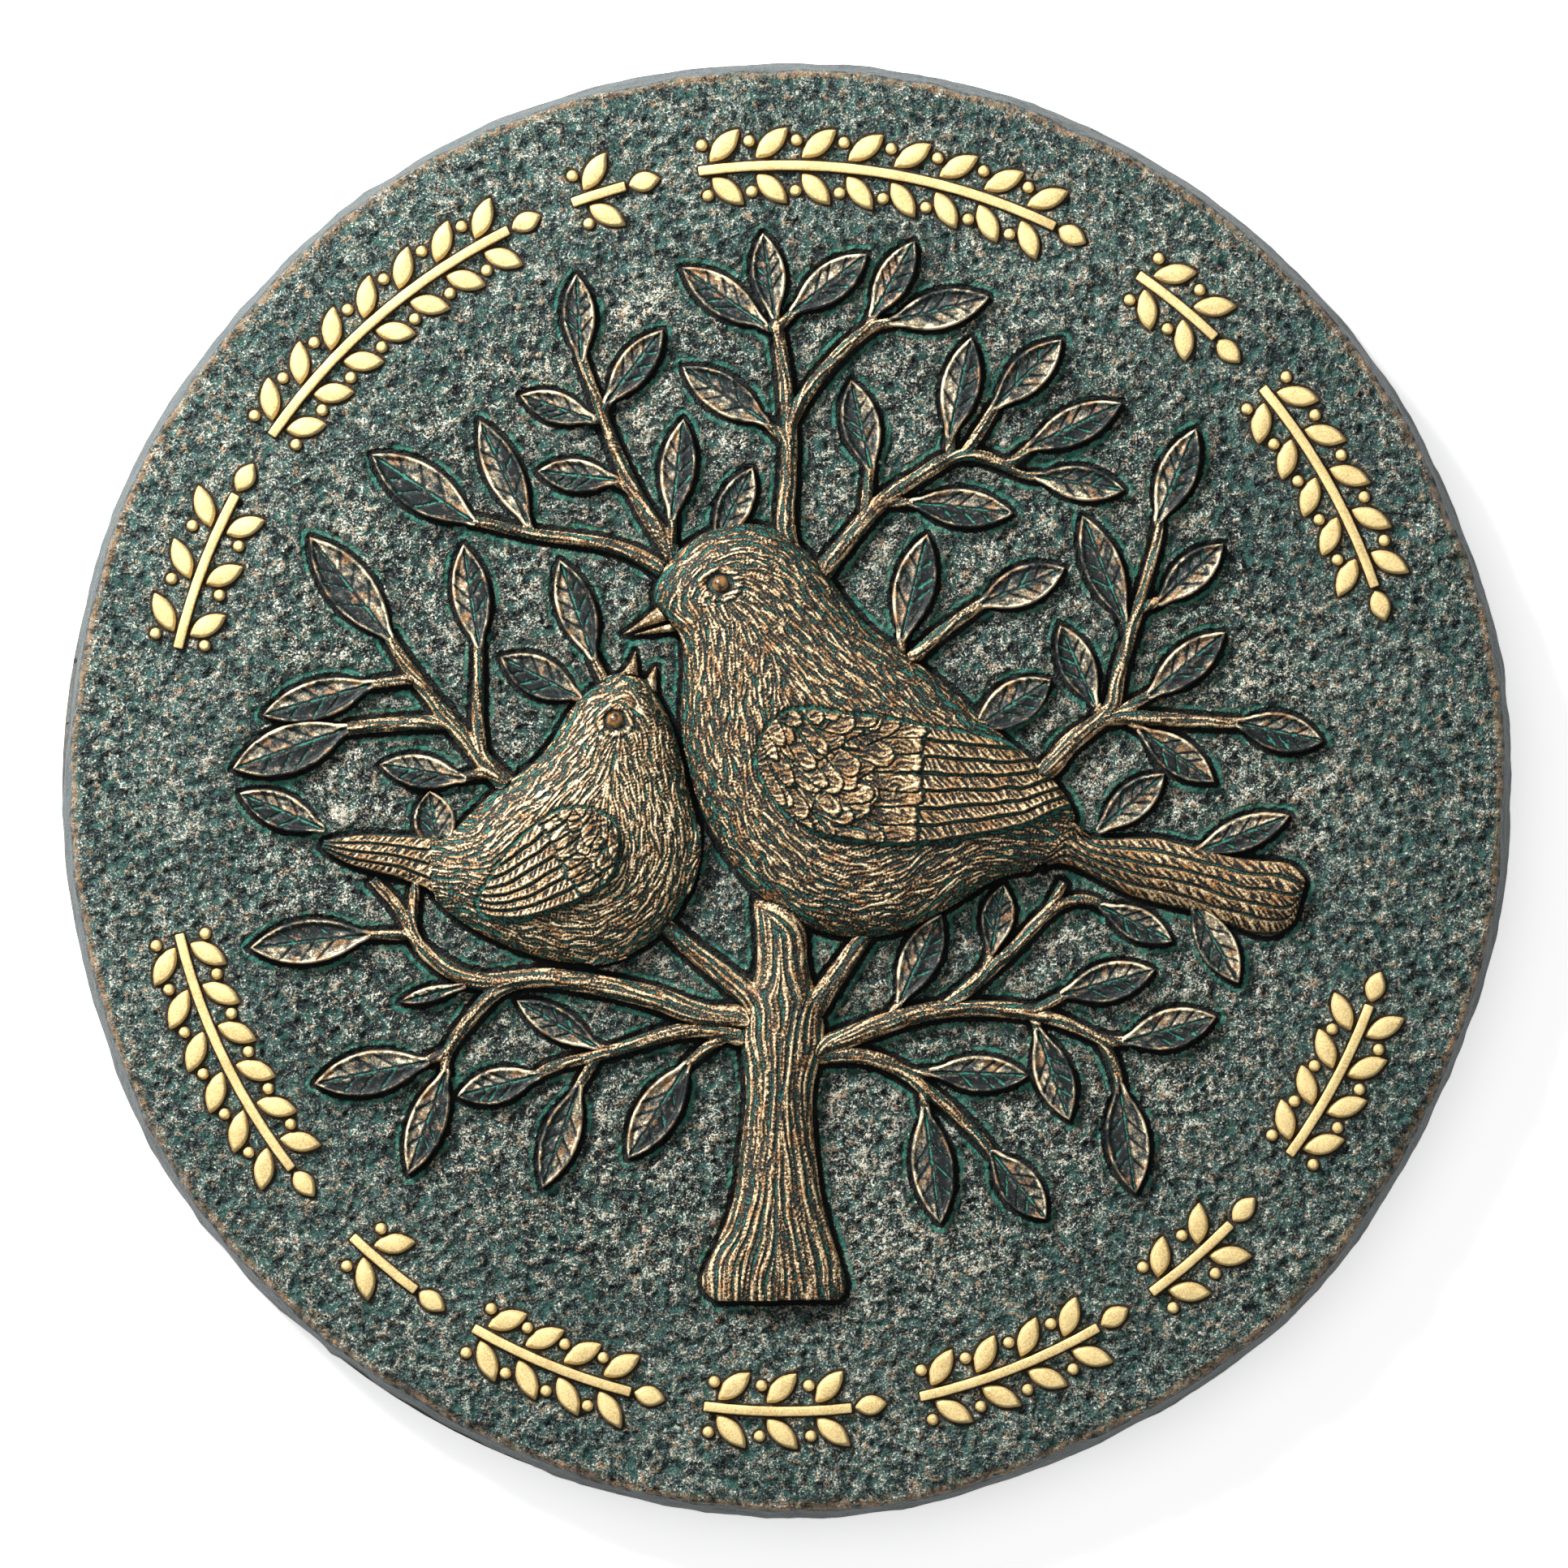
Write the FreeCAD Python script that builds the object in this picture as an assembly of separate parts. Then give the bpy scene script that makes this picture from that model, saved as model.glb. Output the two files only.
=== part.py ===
"""Round garden stone with a tree of life and two birds in relief.

A cast stone disc lies flat, face up. A tree with twelve boughs, its leaves, an adult bird and a
young bird stand on the face, and thirteen gold sprigs run round the border. A steel keyhole
plate with two countersunk screws is let into the back, so that the stone can also hang.

Millimetres. +Z is up and out of the face, +Y is towards the top of the picture, and the origin
is the middle of the underside. The artwork is drawn on a face of DRAWN_FACE_RADIUS and follows
the real face when the disc's size changes.
"""

import FreeCAD
import Part

import math
import os

from FreeCAD import Vector

# ---------------------------------------------------------------- driving dimensions
DISC_DIAMETER = 300.0        # at the foot, the widest place
DISC_THICKNESS = 18.0        # from the back to the flat face
SIDE_DRAFT = 2.0             # how much smaller the radius is at the top of the side
EDGE_ROUND = 2.5             # the worn rim between side and face
FOOT_CHAMFER = 0.8

ADULT_RELIEF = 12.0          # height of the adult bird's breast above the face
YOUNG_RELIEF = 10.0
TAIL_RELIEF = 4.6
WING_THICKNESS = 1.5         # how far a folded wing stands off the body
BILL_RELIEF = 3.6
EYE_RADIUS = 1.7
EYE_PROUD = 0.9              # how far an eye stands out of the head

TRUNK_RELIEF = 6.0
LIMB_BASE_RELIEF = 1.0       # a limb stands this high, plus LIMB_RELIEF_PER_WIDTH of its width
LIMB_RELIEF_PER_WIDTH = 0.55
LEAF_RELIEF = 2.2
LEAF_EDGE_SLOPE = 0.55       # the leaf's top is smaller than its foot by this all round
MIDRIB_WIDTH = 0.9
MIDRIB_DEPTH = 0.6
MIDRIB_START = 0.14          # where the midrib begins, and its length, as shares of the leaf's
MIDRIB_SHARE = 0.74

BORDER_RADIUS = 127.8        # the sprigs' stems follow this circle on the drawn face
SPRIG_RELIEF = 1.3
SPRIG_STEM_WIDTH = 1.9
SPRIG_LEAF_LENGTH = 9.4
SPRIG_LEAF_WIDTH = 4.4
SPRIG_LEAF_ANGLE = 44.0      # between a leaf and the stem, degrees
SPRIG_LEAF_GAP = 0.45        # clear groove between a leaf's foot and the stem
SPRIG_PITCH = 8.6            # along the stem, from one pair of leaves to the next
SPRIG_BERRY_RADIUS = 1.25
SPRIG_BERRY_OFFSET = 5.2     # from the stem's middle to the berry's
SPRIG_BERRY_BACK = 1.0       # how far behind its leaf's foot a berry stands
SPRIG_BERRY_TAPER = 0.6      # the berry's top radius as a share of its foot's

PLATE_WIDTH = 20.0           # keyhole hanger plate
PLATE_LENGTH = 52.0
PLATE_THICKNESS = 1.5
PLATE_CORNER = 4.0
PLATE_CLEARANCE = 0.25       # between the plate and the walls of its recess
PLATE_SUNK = 0.5             # how far the plate lies below the back
PLATE_CENTRE_Y = 98.0        # on the drawn face, above the middle, so the stone hangs upright
KEYHOLE_RADIUS = 5.5         # the screw head goes in here
KEYHOLE_SLOT_HALF = 2.7      # the shank slides up here
KEYHOLE_TRAVEL = 12.0
PLATE_LEDGE = 2.0            # the plate rests on this much stone beside the pocket
POCKET_DEPTH = 10.0          # the hollow behind the plate
POCKET_MARGIN = 1.5          # the pocket is longer than the keyhole by this at each end
SCREW_SHANK_RADIUS = 1.5
SCREW_HEAD_RADIUS = 3.0
SCREW_LENGTH = 11.0
SCREW_CLEARANCE = 0.05
SCREW_EDGE = 5.0             # from the plate's end to a screw's middle
DRIVER_SLOT_WIDTH = 0.8
DRIVER_SLOT_DEPTH = 0.7

# ---------------------------------------------------------------- the drawn artwork
DRAWN_FACE_RADIUS = 148.0

# Each station of a body is a point on one outline, the point facing it on the other, and the
# height between them as a share of the body's relief.
ADULT_BODY = [
    ((-27.0, 38.5), (-23.0, 33.0), 0.33),
    ((-26.2, 43.0), (-21.8, 31.5), 0.52),
    ((-22.8, 48.0), (-21.2, 30.0), 0.68),
    ((-16.5, 52.5), (-21.0, 27.5), 0.80),
    ((-9.0, 54.5), (-21.0, 23.5), 0.87),
    ((-1.5, 53.0), (-21.4, 18.0), 0.91),
    ((5.0, 48.3), (-21.4, 11.5), 0.94),
    ((11.0, 40.8), (-20.0, 4.0), 0.97),
    ((17.5, 33.2), (-17.3, -4.5), 1.00),
    ((25.5, 27.2), (-12.5, -13.5), 1.00),
    ((33.5, 21.0), (-5.0, -22.5), 0.97),
    ((41.0, 14.2), (6.0, -29.0), 0.90),
    ((48.0, 8.2), (18.5, -30.6), 0.80),
    ((54.0, 2.8), (31.0, -26.2), 0.66),
    ((58.0, -2.0), (41.5, -19.8), 0.52),
    ((59.5, -6.4), (50.5, -17.2), 0.42),
]
ADULT_TAIL = [
    ((57.5, -6.6), (53.0, -17.0), 0.95),
    ((72.0, -9.9), (67.0, -20.4), 1.00),
    ((86.0, -12.3), (80.5, -24.7), 0.95),
    ((98.0, -14.5), (93.0, -29.0), 0.85),
    ((104.3, -15.8), (100.5, -30.2), 0.72),
    ((106.9, -19.0), (104.8, -26.6), 0.45),
]
ADULT_BILL_UPPER = [
    ((-25.4, 38.2), (-22.2, 34.6), 1.00),
    ((-28.2, 35.6), (-26.4, 33.7), 0.72),
    ((-31.2, 33.2), (-30.6, 32.3), 0.45),
    ((-33.4, 31.7), (-33.3, 31.5), 0.20),
]
ADULT_BILL_LOWER = [
    ((-22.4, 34.2), (-21.6, 32.2), 0.80),
    ((-26.5, 33.1), (-26.6, 31.7), 0.52),
    ((-30.8, 31.8), (-31.2, 31.2), 0.22),
]
ADULT_EYE = (-13.3, 41.8)
ADULT_WING = [
    (-5.5, 4.0), (-4.8, 10.5), (0.5, 15.8), (10.0, 15.6), (20.0, 14.4), (32.0, 12.2),
    (45.6, 9.2), (52.6, 5.6), (57.8, 3.2), (61.6, 0.2), (55.5, -4.6), (47.0, -7.9),
    (36.0, -10.0), (26.0, -11.3), (15.0, -10.6), (6.0, -8.6), (-1.5, -3.4),
]

YOUNG_BODY = [
    ((-32.6, 23.6), (-28.4, 22.4), 0.35),
    ((-37.0, 22.2), (-26.3, 19.3), 0.66),
    ((-41.0, 19.6), (-24.2, 15.5), 0.80),
    ((-44.6, 15.5), (-22.4, 11.0), 0.88),
    ((-47.4, 10.6), (-20.8, 5.0), 0.92),
    ((-50.8, 6.2), (-19.2, -2.0), 0.96),
    ((-55.2, 2.7), (-17.6, -10.0), 1.00),
    ((-60.0, -0.9), (-18.6, -18.0), 1.00),
    ((-64.0, -4.5), (-22.8, -26.8), 0.96),
    ((-67.0, -7.4), (-31.5, -34.0), 0.88),
    ((-69.0, -9.0), (-43.0, -36.0), 0.76),
    ((-70.4, -9.8), (-55.0, -33.3), 0.62),
    ((-71.6, -10.0), (-65.0, -28.4), 0.50),
    ((-73.0, -10.0), (-72.0, -22.4), 0.41),
]
YOUNG_TAIL = [
    ((-71.5, -9.8), (-73.0, -20.8), 0.86),
    ((-82.0, -9.3), (-84.0, -17.4), 0.80),
    ((-90.0, -9.6), (-91.2, -14.9), 0.68),
    ((-94.8, -10.5), (-95.2, -12.3), 0.45),
]
YOUNG_BILL_UPPER = [
    ((-34.2, 23.2), (-30.2, 21.2), 1.00),
    ((-32.2, 25.4), (-30.2, 24.4), 0.75),
    ((-30.9, 28.2), (-30.6, 28.1), 0.30),
]
YOUNG_BILL_LOWER = [
    ((-29.6, 20.4), (-26.2, 19.6), 0.90),
    ((-28.2, 22.8), (-26.4, 22.2), 0.62),
    ((-26.6, 25.2), (-26.3, 25.1), 0.25),
]
YOUNG_EYE = (-34.8, 14.0)
YOUNG_WING = [
    (-35.6, -6.4), (-40.0, -4.2), (-46.5, -4.6), (-52.0, -8.2), (-57.0, -13.2), (-61.0, -19.2),
    (-63.0, -24.4), (-58.0, -26.7), (-50.0, -25.6), (-42.5, -22.8), (-36.6, -19.2),
    (-34.0, -13.0),
]

TRUNK = [
    ((-6.4, -22.5), (3.8, -24.5), 0.62),
    ((-6.0, -32.0), (4.6, -32.0), 0.78),
    ((-6.8, -40.0), (5.8, -40.0), 0.90),
    ((-8.8, -47.0), (7.8, -47.0), 1.00),
    ((-9.2, -54.0), (7.8, -54.0), 1.00),
    ((-8.3, -60.0), (6.2, -60.0), 1.00),
    ((-8.8, -70.0), (5.9, -70.0), 0.97),
    ((-10.0, -80.0), (7.0, -80.0), 0.95),
    ((-11.9, -88.0), (8.8, -88.0), 0.94),
    ((-15.0, -95.0), (10.8, -95.0), 0.92),
    ((-17.2, -101.0), (12.6, -101.0), 0.88),
    ((-14.0, -105.4), (11.0, -105.0), 0.76),
]
TRUNK_STUBS = [
    ([(-6.0, -43.5), (-16.0, -35.6), (-24.6, -28.2)], 5.6, 3.6),
    ([(5.5, -45.5), (11.5, -37.0), (16.5, -29.8)], 5.2, 3.6),
]

# Each bough is its limbs, as (points, width at the start, width at the end), and its leaves, as
# (foot, tip, width). A limb that starts on another one starts inside it.
BOUGHS = {
    "top": {
        "limbs": [
            ([(1.2, 49.0), (0.5, 62.0), (0.9, 72.0), (0.2, 82.0), (-1.0, 91.0), (-2.2, 97.3)],
             4.2, 2.4),
            ([(1.0, 75.0), (5.5, 82.5), (12.0, 90.0), (18.4, 94.8), (22.1, 95.6)], 3.4, 2.2),
            ([(-1.0, 93.6), (-4.5, 95.1)], 2.4, 2.0),
            ([(-1.4, 94.6), (1.9, 98.0)], 2.4, 2.0),
            ([(0.6, 71.2), (-4.3, 75.3)], 2.8, 2.0),
            ([(17.0, 93.6), (18.2, 97.4)], 2.4, 2.0),
        ],
        "leaves": [
            ((-2.3, 97.6), (-4.6, 114.0), 7.0), ((-4.8, 95.3), (-21.3, 106.9), 7.8),
            ((2.2, 98.3), (16.9, 109.6), 7.8), ((-4.5, 75.5), (-21.2, 86.5), 8.0),
            ((18.3, 97.6), (26.6, 112.3), 7.0), ((22.4, 95.8), (42.0, 100.8), 8.0),
        ],
    },
    "upper_left": {
        "limbs": [
            ([(-22.5, 47.0), (-28.0, 55.8), (-31.5, 62.0), (-35.0, 70.0), (-37.8, 77.5),
              (-41.8, 88.5)], 4.0, 2.2),
            ([(-38.0, 76.2), (-36.3, 79.5)], 2.6, 2.0),
            ([(-37.0, 75.8), (-39.8, 75.7)], 2.4, 2.0),
            ([(-31.2, 61.0), (-35.1, 63.2)], 2.6, 2.0),
            ([(-23.4, 47.5), (-23.1, 56.0)], 2.4, 2.0),
        ],
        "leaves": [
            ((-41.9, 88.8), (-42.8, 105.6), 6.8), ((-36.1, 79.8), (-25.0, 94.1), 7.2),
            ((-40.1, 75.8), (-54.5, 80.6), 6.6), ((-35.4, 63.3), (-50.9, 65.0), 7.0),
            ((-23.1, 56.3), (-20.8, 75.9), 7.4), ((-13.8, 51.0), (-6.6, 65.9), 7.2),
        ],
    },
    "left": {
        "limbs": [
            ([(-24.0, 43.6), (-30.0, 47.6), (-36.0, 49.8), (-46.0, 51.4), (-56.0, 53.1),
              (-64.3, 54.9)], 3.6, 2.2),
            ([(-52.3, 52.3), (-53.0, 54.7)], 2.4, 2.0),
            ([(-36.8, 21.8), (-39.4, 27.1)], 2.6, 2.0),
        ],
        "leaves": [
            ((-64.6, 55.0), (-85.0, 68.6), 9.8), ((-53.1, 55.0), (-62.7, 75.6), 7.6),
            ((-39.6, 27.5), (-46.3, 47.0), 8.0), ((-43.0, 19.0), (-58.5, 27.0), 8.4),
        ],
    },
    "far_left": {
        "limbs": [
            ([(-57.0, 0.5), (-62.5, 6.5), (-68.0, 12.8), (-73.0, 19.0), (-77.0, 24.5),
              (-81.2, 31.0)], 4.4, 2.8),
            ([(-62.4, 6.6), (-63.0, 14.0), (-62.9, 22.0), (-62.9, 29.8)], 3.2, 2.2),
            ([(-68.6, 13.6), (-80.0, 13.2), (-90.0, 12.2)], 3.2, 3.0),
            ([(-75.4, 22.6), (-85.0, 21.3)], 2.6, 2.2),
            ([(-60.2, 3.6), (-66.4, 2.2)], 2.8, 2.0),
        ],
        "leaves": [
            ((-81.4, 31.3), (-97.6, 51.6), 9.8), ((-62.9, 30.1), (-66.0, 50.2), 7.8),
            ((-90.3, 12.1), (-113.4, 3.9), 10.0), ((-85.3, 21.2), (-107.3, 14.9), 8.2),
            ((-66.7, 2.1), (-83.3, 4.9), 7.0), ((-95.6, -8.0), (-112.0, -0.9), 7.4),
            ((-73.2, -13.0), (-72.6, -0.4), 6.6),
        ],
    },
    "lower_left": {
        "limbs": [
            ([(-5.0, -50.6), (-15.0, -46.8), (-24.0, -44.0), (-33.0, -41.4), (-43.0, -39.5),
              (-52.0, -38.9), (-60.0, -39.7), (-67.0, -38.2), (-72.3, -34.8), (-76.6, -29.3)],
             5.6, 3.2),
            ([(-76.0, -30.4), (-79.0, -25.0), (-84.8, -18.6)], 3.0, 2.4),
            ([(-76.6, -30.0), (-76.3, -24.0), (-75.6, -18.6)], 2.6, 2.2),
            ([(-75.8, -30.0), (-86.0, -30.1)], 2.6, 2.0),
            ([(-56.0, -40.0), (-62.9, -45.2), (-66.3, -49.5), (-68.8, -53.2), (-69.7, -58.4)],
             3.8, 2.2),
            ([(-68.6, -53.8), (-74.0, -56.1)], 2.6, 2.0),
        ],
        "leaves": [
            ((-86.3, -30.1), (-109.9, -32.8), 9.2), ((-74.3, -56.2), (-96.7, -60.6), 9.2),
            ((-69.8, -58.7), (-77.3, -79.3), 7.8), ((-66.8, -40.7), (-79.2, -43.9), 3.4),
        ],
    },
    "low_left": {
        "limbs": [
            ([(-6.0, -52.4), (-15.5, -49.6), (-24.0, -50.3), (-31.5, -52.6), (-40.5, -55.2),
              (-51.0, -58.9)], 4.2, 2.2),
            ([(-38.6, -54.4), (-40.8, -58.5), (-42.5, -61.5)], 2.8, 2.0),
            ([(-36.8, -54.0), (-39.0, -52.8)], 2.4, 1.8),
            ([(-11.5, -50.4), (-15.5, -52.8), (-20.2, -56.8)], 3.0, 2.2),
        ],
        "leaves": [
            ((-51.3, -59.0), (-67.4, -63.2), 7.4), ((-42.6, -61.8), (-49.8, -82.0), 7.8),
            ((-39.3, -52.6), (-55.2, -43.4), 6.6), ((-20.4, -57.1), (-32.3, -76.0), 8.8),
        ],
    },
    "lower_right": {
        "limbs": [
            ([(4.0, -54.6), (12.0, -51.4), (20.5, -48.2), (30.5, -45.6), (40.5, -45.1),
              (50.7, -46.1), (56.5, -47.8), (63.7, -51.0), (70.0, -51.7)], 5.2, 2.2),
            ([(64.0, -50.8), (67.4, -56.5), (68.6, -61.4)], 2.8, 2.2),
            ([(50.0, -46.4), (57.4, -42.2)], 2.8, 2.2),
            ([(50.6, -45.6), (52.0, -50.0)], 2.6, 2.0),
            ([(20.9, -49.0), (23.6, -43.3)], 2.6, 2.0),
        ],
        "leaves": [
            ((57.7, -42.0), (75.9, -37.2), 8.2), ((23.8, -43.0), (32.0, -25.6), 8.2),
            ((52.1, -50.3), (58.3, -68.2), 8.0), ((70.3, -51.7), (88.5, -46.8), 8.4),
            ((68.7, -61.7), (71.8, -83.2), 9.0),
        ],
    },
    "rising_right": {
        "limbs": [
            ([(33.4, -45.0), (36.9, -41.6), (41.0, -38.0), (48.0, -31.6), (54.0, -25.4),
              (59.8, -22.8), (65.3, -24.4)], 3.8, 2.0),
            ([(53.6, -26.0), (57.2, -19.0)], 2.6, 2.2),
            ([(41.0, -38.6), (42.3, -33.0)], 2.4, 2.0),
        ],
        "leaves": [
            ((65.6, -24.6), (79.5, -31.4), 6.8), ((42.4, -32.7), (44.8, -19.6), 7.0),
            ((85.0, -24.0), (92.9, -40.1), 7.0),
        ],
    },
    "hanging_right": {
        "limbs": [
            ([(4.0, -55.0), (15.5, -54.9), (23.0, -57.5), (28.7, -61.6), (34.3, -66.2),
              (40.5, -72.4), (42.7, -75.0)], 3.8, 2.4),
            ([(24.4, -58.8), (30.4, -58.2)], 2.4, 2.0),
            ([(28.3, -61.0), (28.8, -66.3)], 2.6, 2.0),
        ],
        "leaves": [
            ((42.9, -75.3), (53.5, -88.4), 8.4), ((28.8, -66.6), (31.8, -89.4), 8.8),
            ((30.7, -58.2), (50.0, -58.9), 7.6),
        ],
    },
    "upper_right": {
        "limbs": [
            ([(7.0, 43.0), (12.5, 50.5), (16.5, 55.4), (22.3, 60.8), (28.0, 64.2),
              (33.5, 67.6), (37.5, 68.4), (45.0, 66.1), (52.0, 64.0)], 4.2, 2.2),
            ([(34.0, 67.4), (33.9, 72.8)], 2.6, 2.0),
            ([(36.4, 67.6), (43.3, 78.6)], 3.0, 2.2),
            ([(44.8, 65.4), (50.2, 69.9)], 2.6, 2.0),
            ([(16.4, 55.2), (17.4, 65.8)], 2.8, 2.2),
            ([(20.0, 59.0), (26.4, 58.5)], 2.8, 2.0),
        ],
        "leaves": [
            ((33.9, 73.1), (38.2, 92.6), 8.0), ((43.5, 78.9), (56.8, 92.1), 7.8),
            ((50.5, 70.1), (69.2, 79.1), 7.8), ((52.3, 63.9), (69.7, 61.1), 7.2),
            ((26.7, 58.5), (46.9, 56.4), 8.0), ((17.4, 66.1), (13.5, 83.8), 8.0),
        ],
    },
    "right": {
        "limbs": [
            ([(21.5, 22.5), (27.5, 28.0), (32.5, 32.3), (37.2, 35.7), (40.4, 37.9)], 3.4, 2.4),
            ([(23.4, 25.0), (24.0, 31.0)], 2.6, 2.0),
        ],
        "leaves": [
            ((40.7, 38.1), (57.4, 45.2), 8.2), ((24.0, 31.3), (29.2, 52.3), 8.6),
            ((39.0, 14.0), (54.7, 22.2), 7.8),
        ],
    },
    "far_right": {
        "limbs": [
            ([(52.0, 2.8), (58.0, 8.8), (62.0, 12.0), (65.6, 15.0), (68.2, 22.5),
              (70.5, 30.5), (73.1, 39.5), (75.0, 46.0), (76.6, 55.4)], 4.6, 2.0),
            ([(64.6, 14.4), (72.0, 14.6), (82.0, 13.9), (93.0, 13.4)], 3.8, 2.4),
            ([(67.0, 14.8), (75.0, 19.3)], 3.0, 2.2),
            ([(72.2, 37.0), (77.0, 38.5)], 3.0, 2.2),
            ([(71.0, 31.6), (69.3, 35.0)], 2.6, 2.0),
            ([(65.8, 14.6), (63.3, 17.7)], 2.6, 2.0),
            ([(70.0, 14.6), (73.2, 11.8)], 2.8, 2.0),
        ],
        "leaves": [
            ((76.7, 55.7), (84.3, 73.9), 8.0), ((69.2, 35.3), (60.9, 56.1), 8.0),
            ((77.3, 38.7), (89.9, 50.2), 7.4), ((63.1, 18.0), (56.3, 33.6), 7.6),
            ((75.3, 19.5), (90.3, 32.1), 7.8), ((93.3, 13.3), (110.4, 9.6), 8.2),
            ((73.4, 11.6), (88.1, 1.2), 7.6), ((65.0, -8.0), (77.9, 3.1), 7.4),
            ((85.0, -12.8), (103.6, -5.5), 7.0),
        ],
    },
}

# The sprigs' first and last angles round the border, in degrees from +X.
UPPER_SPRIGS = [(167.0, 148.5), (145.5, 113.0), (110.0, 101.5), (98.0, 61.0), (55.5, 43.0),
                (40.0, 15.5)]
LOWER_SPRIGS = [(193.5, 221.0), (226.0, 237.0), (240.0, 259.0), (262.5, 279.5),
                (282.5, 303.5), (306.0, 319.0), (324.0, 343.0)]

# ---------------------------------------------------------------- values worked out from those
FOOT_RADIUS = DISC_DIAMETER / 2
FACE_RADIUS = FOOT_RADIUS - SIDE_DRAFT
FACE_Z = DISC_THICKNESS
ART = FACE_RADIUS / DRAWN_FACE_RADIUS
UP = Vector(0, 0, 1)
TALL = 2 * (ADULT_RELIEF + YOUNG_RELIEF)    # reaches past anything that stands on the face
SECTION_POINTS = 9


def on_face(point, height=0.0):
    """A drawn point (x, y), placed on the real face, height millimetres above it."""
    return Vector(point[0] * ART, point[1] * ART, FACE_Z + height)


def arch(left, right, height):
    """A closed half-ellipse that stands on the line between two points of the face."""
    middle = (left + right) * 0.5
    half = (right - left) * 0.5
    points = []
    for step in range(SECTION_POINTS):
        turn = math.pi * step / (SECTION_POINTS - 1)
        points.append(middle - half * math.cos(turn) + UP * (height * math.sin(turn)))
    curve = Part.BSplineCurve()
    curve.interpolate(points)
    return Part.Wire([curve.toShape(), Part.makeLine(points[-1], points[0])])


def rounded_body(stations, relief):
    """A solid that passes through one arch at each station, flat where it meets the face."""
    arches = [arch(on_face(a), on_face(b), share * relief) for a, b, share in stations]
    return Part.makeLoft(arches, True, False)


def limb(points, start_width, end_width):
    """A tapering half-round branch along drawn points."""
    path = [on_face(p) for p in points]
    arches = []
    for i, point in enumerate(path):
        ahead = path[min(i + 1, len(path) - 1)]
        behind = path[max(i - 1, 0)]
        along = (ahead - behind).normalize()
        across = UP.cross(along)
        share = i / (len(path) - 1)
        width = start_width + (end_width - start_width) * share
        height = LIMB_BASE_RELIEF + LIMB_RELIEF_PER_WIDTH * width
        half = across * (width * ART / 2)
        arches.append(arch(point + half, point - half, height))
    return Part.makeLoft(arches, True, False)


def leaf_outline(foot, tip, width, height, inset):
    """The pointed oval of a leaf at a height above its foot, smaller than the foot by inset."""
    along = (tip - foot).normalize()
    across = UP.cross(along)
    length = tip.distanceToPoint(foot)
    end_inset = inset * length / width
    start = foot + along * end_inset + UP * height
    end = tip - along * end_inset + UP * height
    reach = length - 2 * end_inset
    swell = (width / 2 - inset) / 0.75     # a cubic's middle reaches three quarters of its poles
    edges = []
    for side in (1, -1):
        poles = [start,
                 start + along * (0.27 * reach) + across * (side * swell),
                 start + along * (0.70 * reach) + across * (side * swell),
                 end]
        if side < 0:
            poles.reverse()
        curve = Part.BezierCurve()
        curve.setPoles(poles)
        edges.append(curve.toShape())
    return Part.Wire(edges)


def leaf_blank(foot, tip, width, relief):
    """A leaf with sloping edges and a flat top."""
    outlines = [leaf_outline(foot, tip, width, 0.0, 0.0),
                leaf_outline(foot, tip, width, relief, LEAF_EDGE_SLOPE)]
    return Part.makeLoft(outlines, True, True)


def leaf(foot, tip, width):
    """A leaf with a vee groove for its midrib."""
    foot = on_face(foot)
    tip = on_face(tip)
    width = width * ART
    blank = leaf_blank(foot, tip, width, LEAF_RELIEF)
    along = (tip - foot).normalize()
    across = UP.cross(along)
    start = foot + (tip - foot) * MIDRIB_START + UP * LEAF_RELIEF
    vee = Part.makePolygon([start - across * (MIDRIB_WIDTH / 2) + UP,
                            start - UP * MIDRIB_DEPTH,
                            start + across * (MIDRIB_WIDTH / 2) + UP,
                            start - across * (MIDRIB_WIDTH / 2) + UP])
    groove = Part.Face(vee).extrude((tip - foot) * MIDRIB_SHARE)
    return blank.cut(groove)


def clear_of(shape, others):
    """The shape without what lies inside the others."""
    for other in others:
        if shape.BoundBox.intersect(other.BoundBox):
            shape = shape.cut(other)
    return shape


def solids_of(shapes):
    """One compound of every solid in the shapes."""
    found = []
    for shape in shapes:
        found.extend(shape.Solids)
    return Part.makeCompound(found)


def drawn_prism(points):
    """An upright prism on a smooth closed outline of drawn points."""
    curve = Part.BSplineCurve()
    curve.interpolate([on_face(p) for p in points], PeriodicFlag=True)
    return Part.Face(Part.Wire(curve.toShape())).extrude(UP * TALL)


# ---------------------------------------------------------------- the birds
def bird(name, stations, relief, tail, bills, wing_outline, eye_place):
    """Every piece of one bird, by node name."""
    body = rounded_body(stations, relief)
    raised = [(a, b, share + WING_THICKNESS / relief) for a, b, share in stations]
    wing = rounded_body(raised, relief).common(drawn_prism(wing_outline)).cut(body)
    inside = body.common(Part.makeLine(on_face(eye_place), on_face(eye_place, TALL)))
    brow = max((v.Point for v in inside.Vertexes), key=lambda point: point.z)
    eye = Part.makeSphere(EYE_RADIUS, brow + UP * (EYE_PROUD - EYE_RADIUS))
    bill_pieces = [clear_of(rounded_body(bill, BILL_RELIEF), [body]) for bill in bills]
    return {
        name + "_body": body.cut(eye),
        name + "_wing": wing,
        name + "_eye": eye,
        name + "_tail": clear_of(rounded_body(tail, TAIL_RELIEF), [body, wing]),
        name + "_bill": solids_of(bill_pieces),
    }


# ---------------------------------------------------------------- the border
def polar(radius, degrees):
    """A point on a circle round the middle of the face."""
    turn = math.radians(degrees)
    return (radius * math.cos(turn), radius * math.sin(turn))


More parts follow.
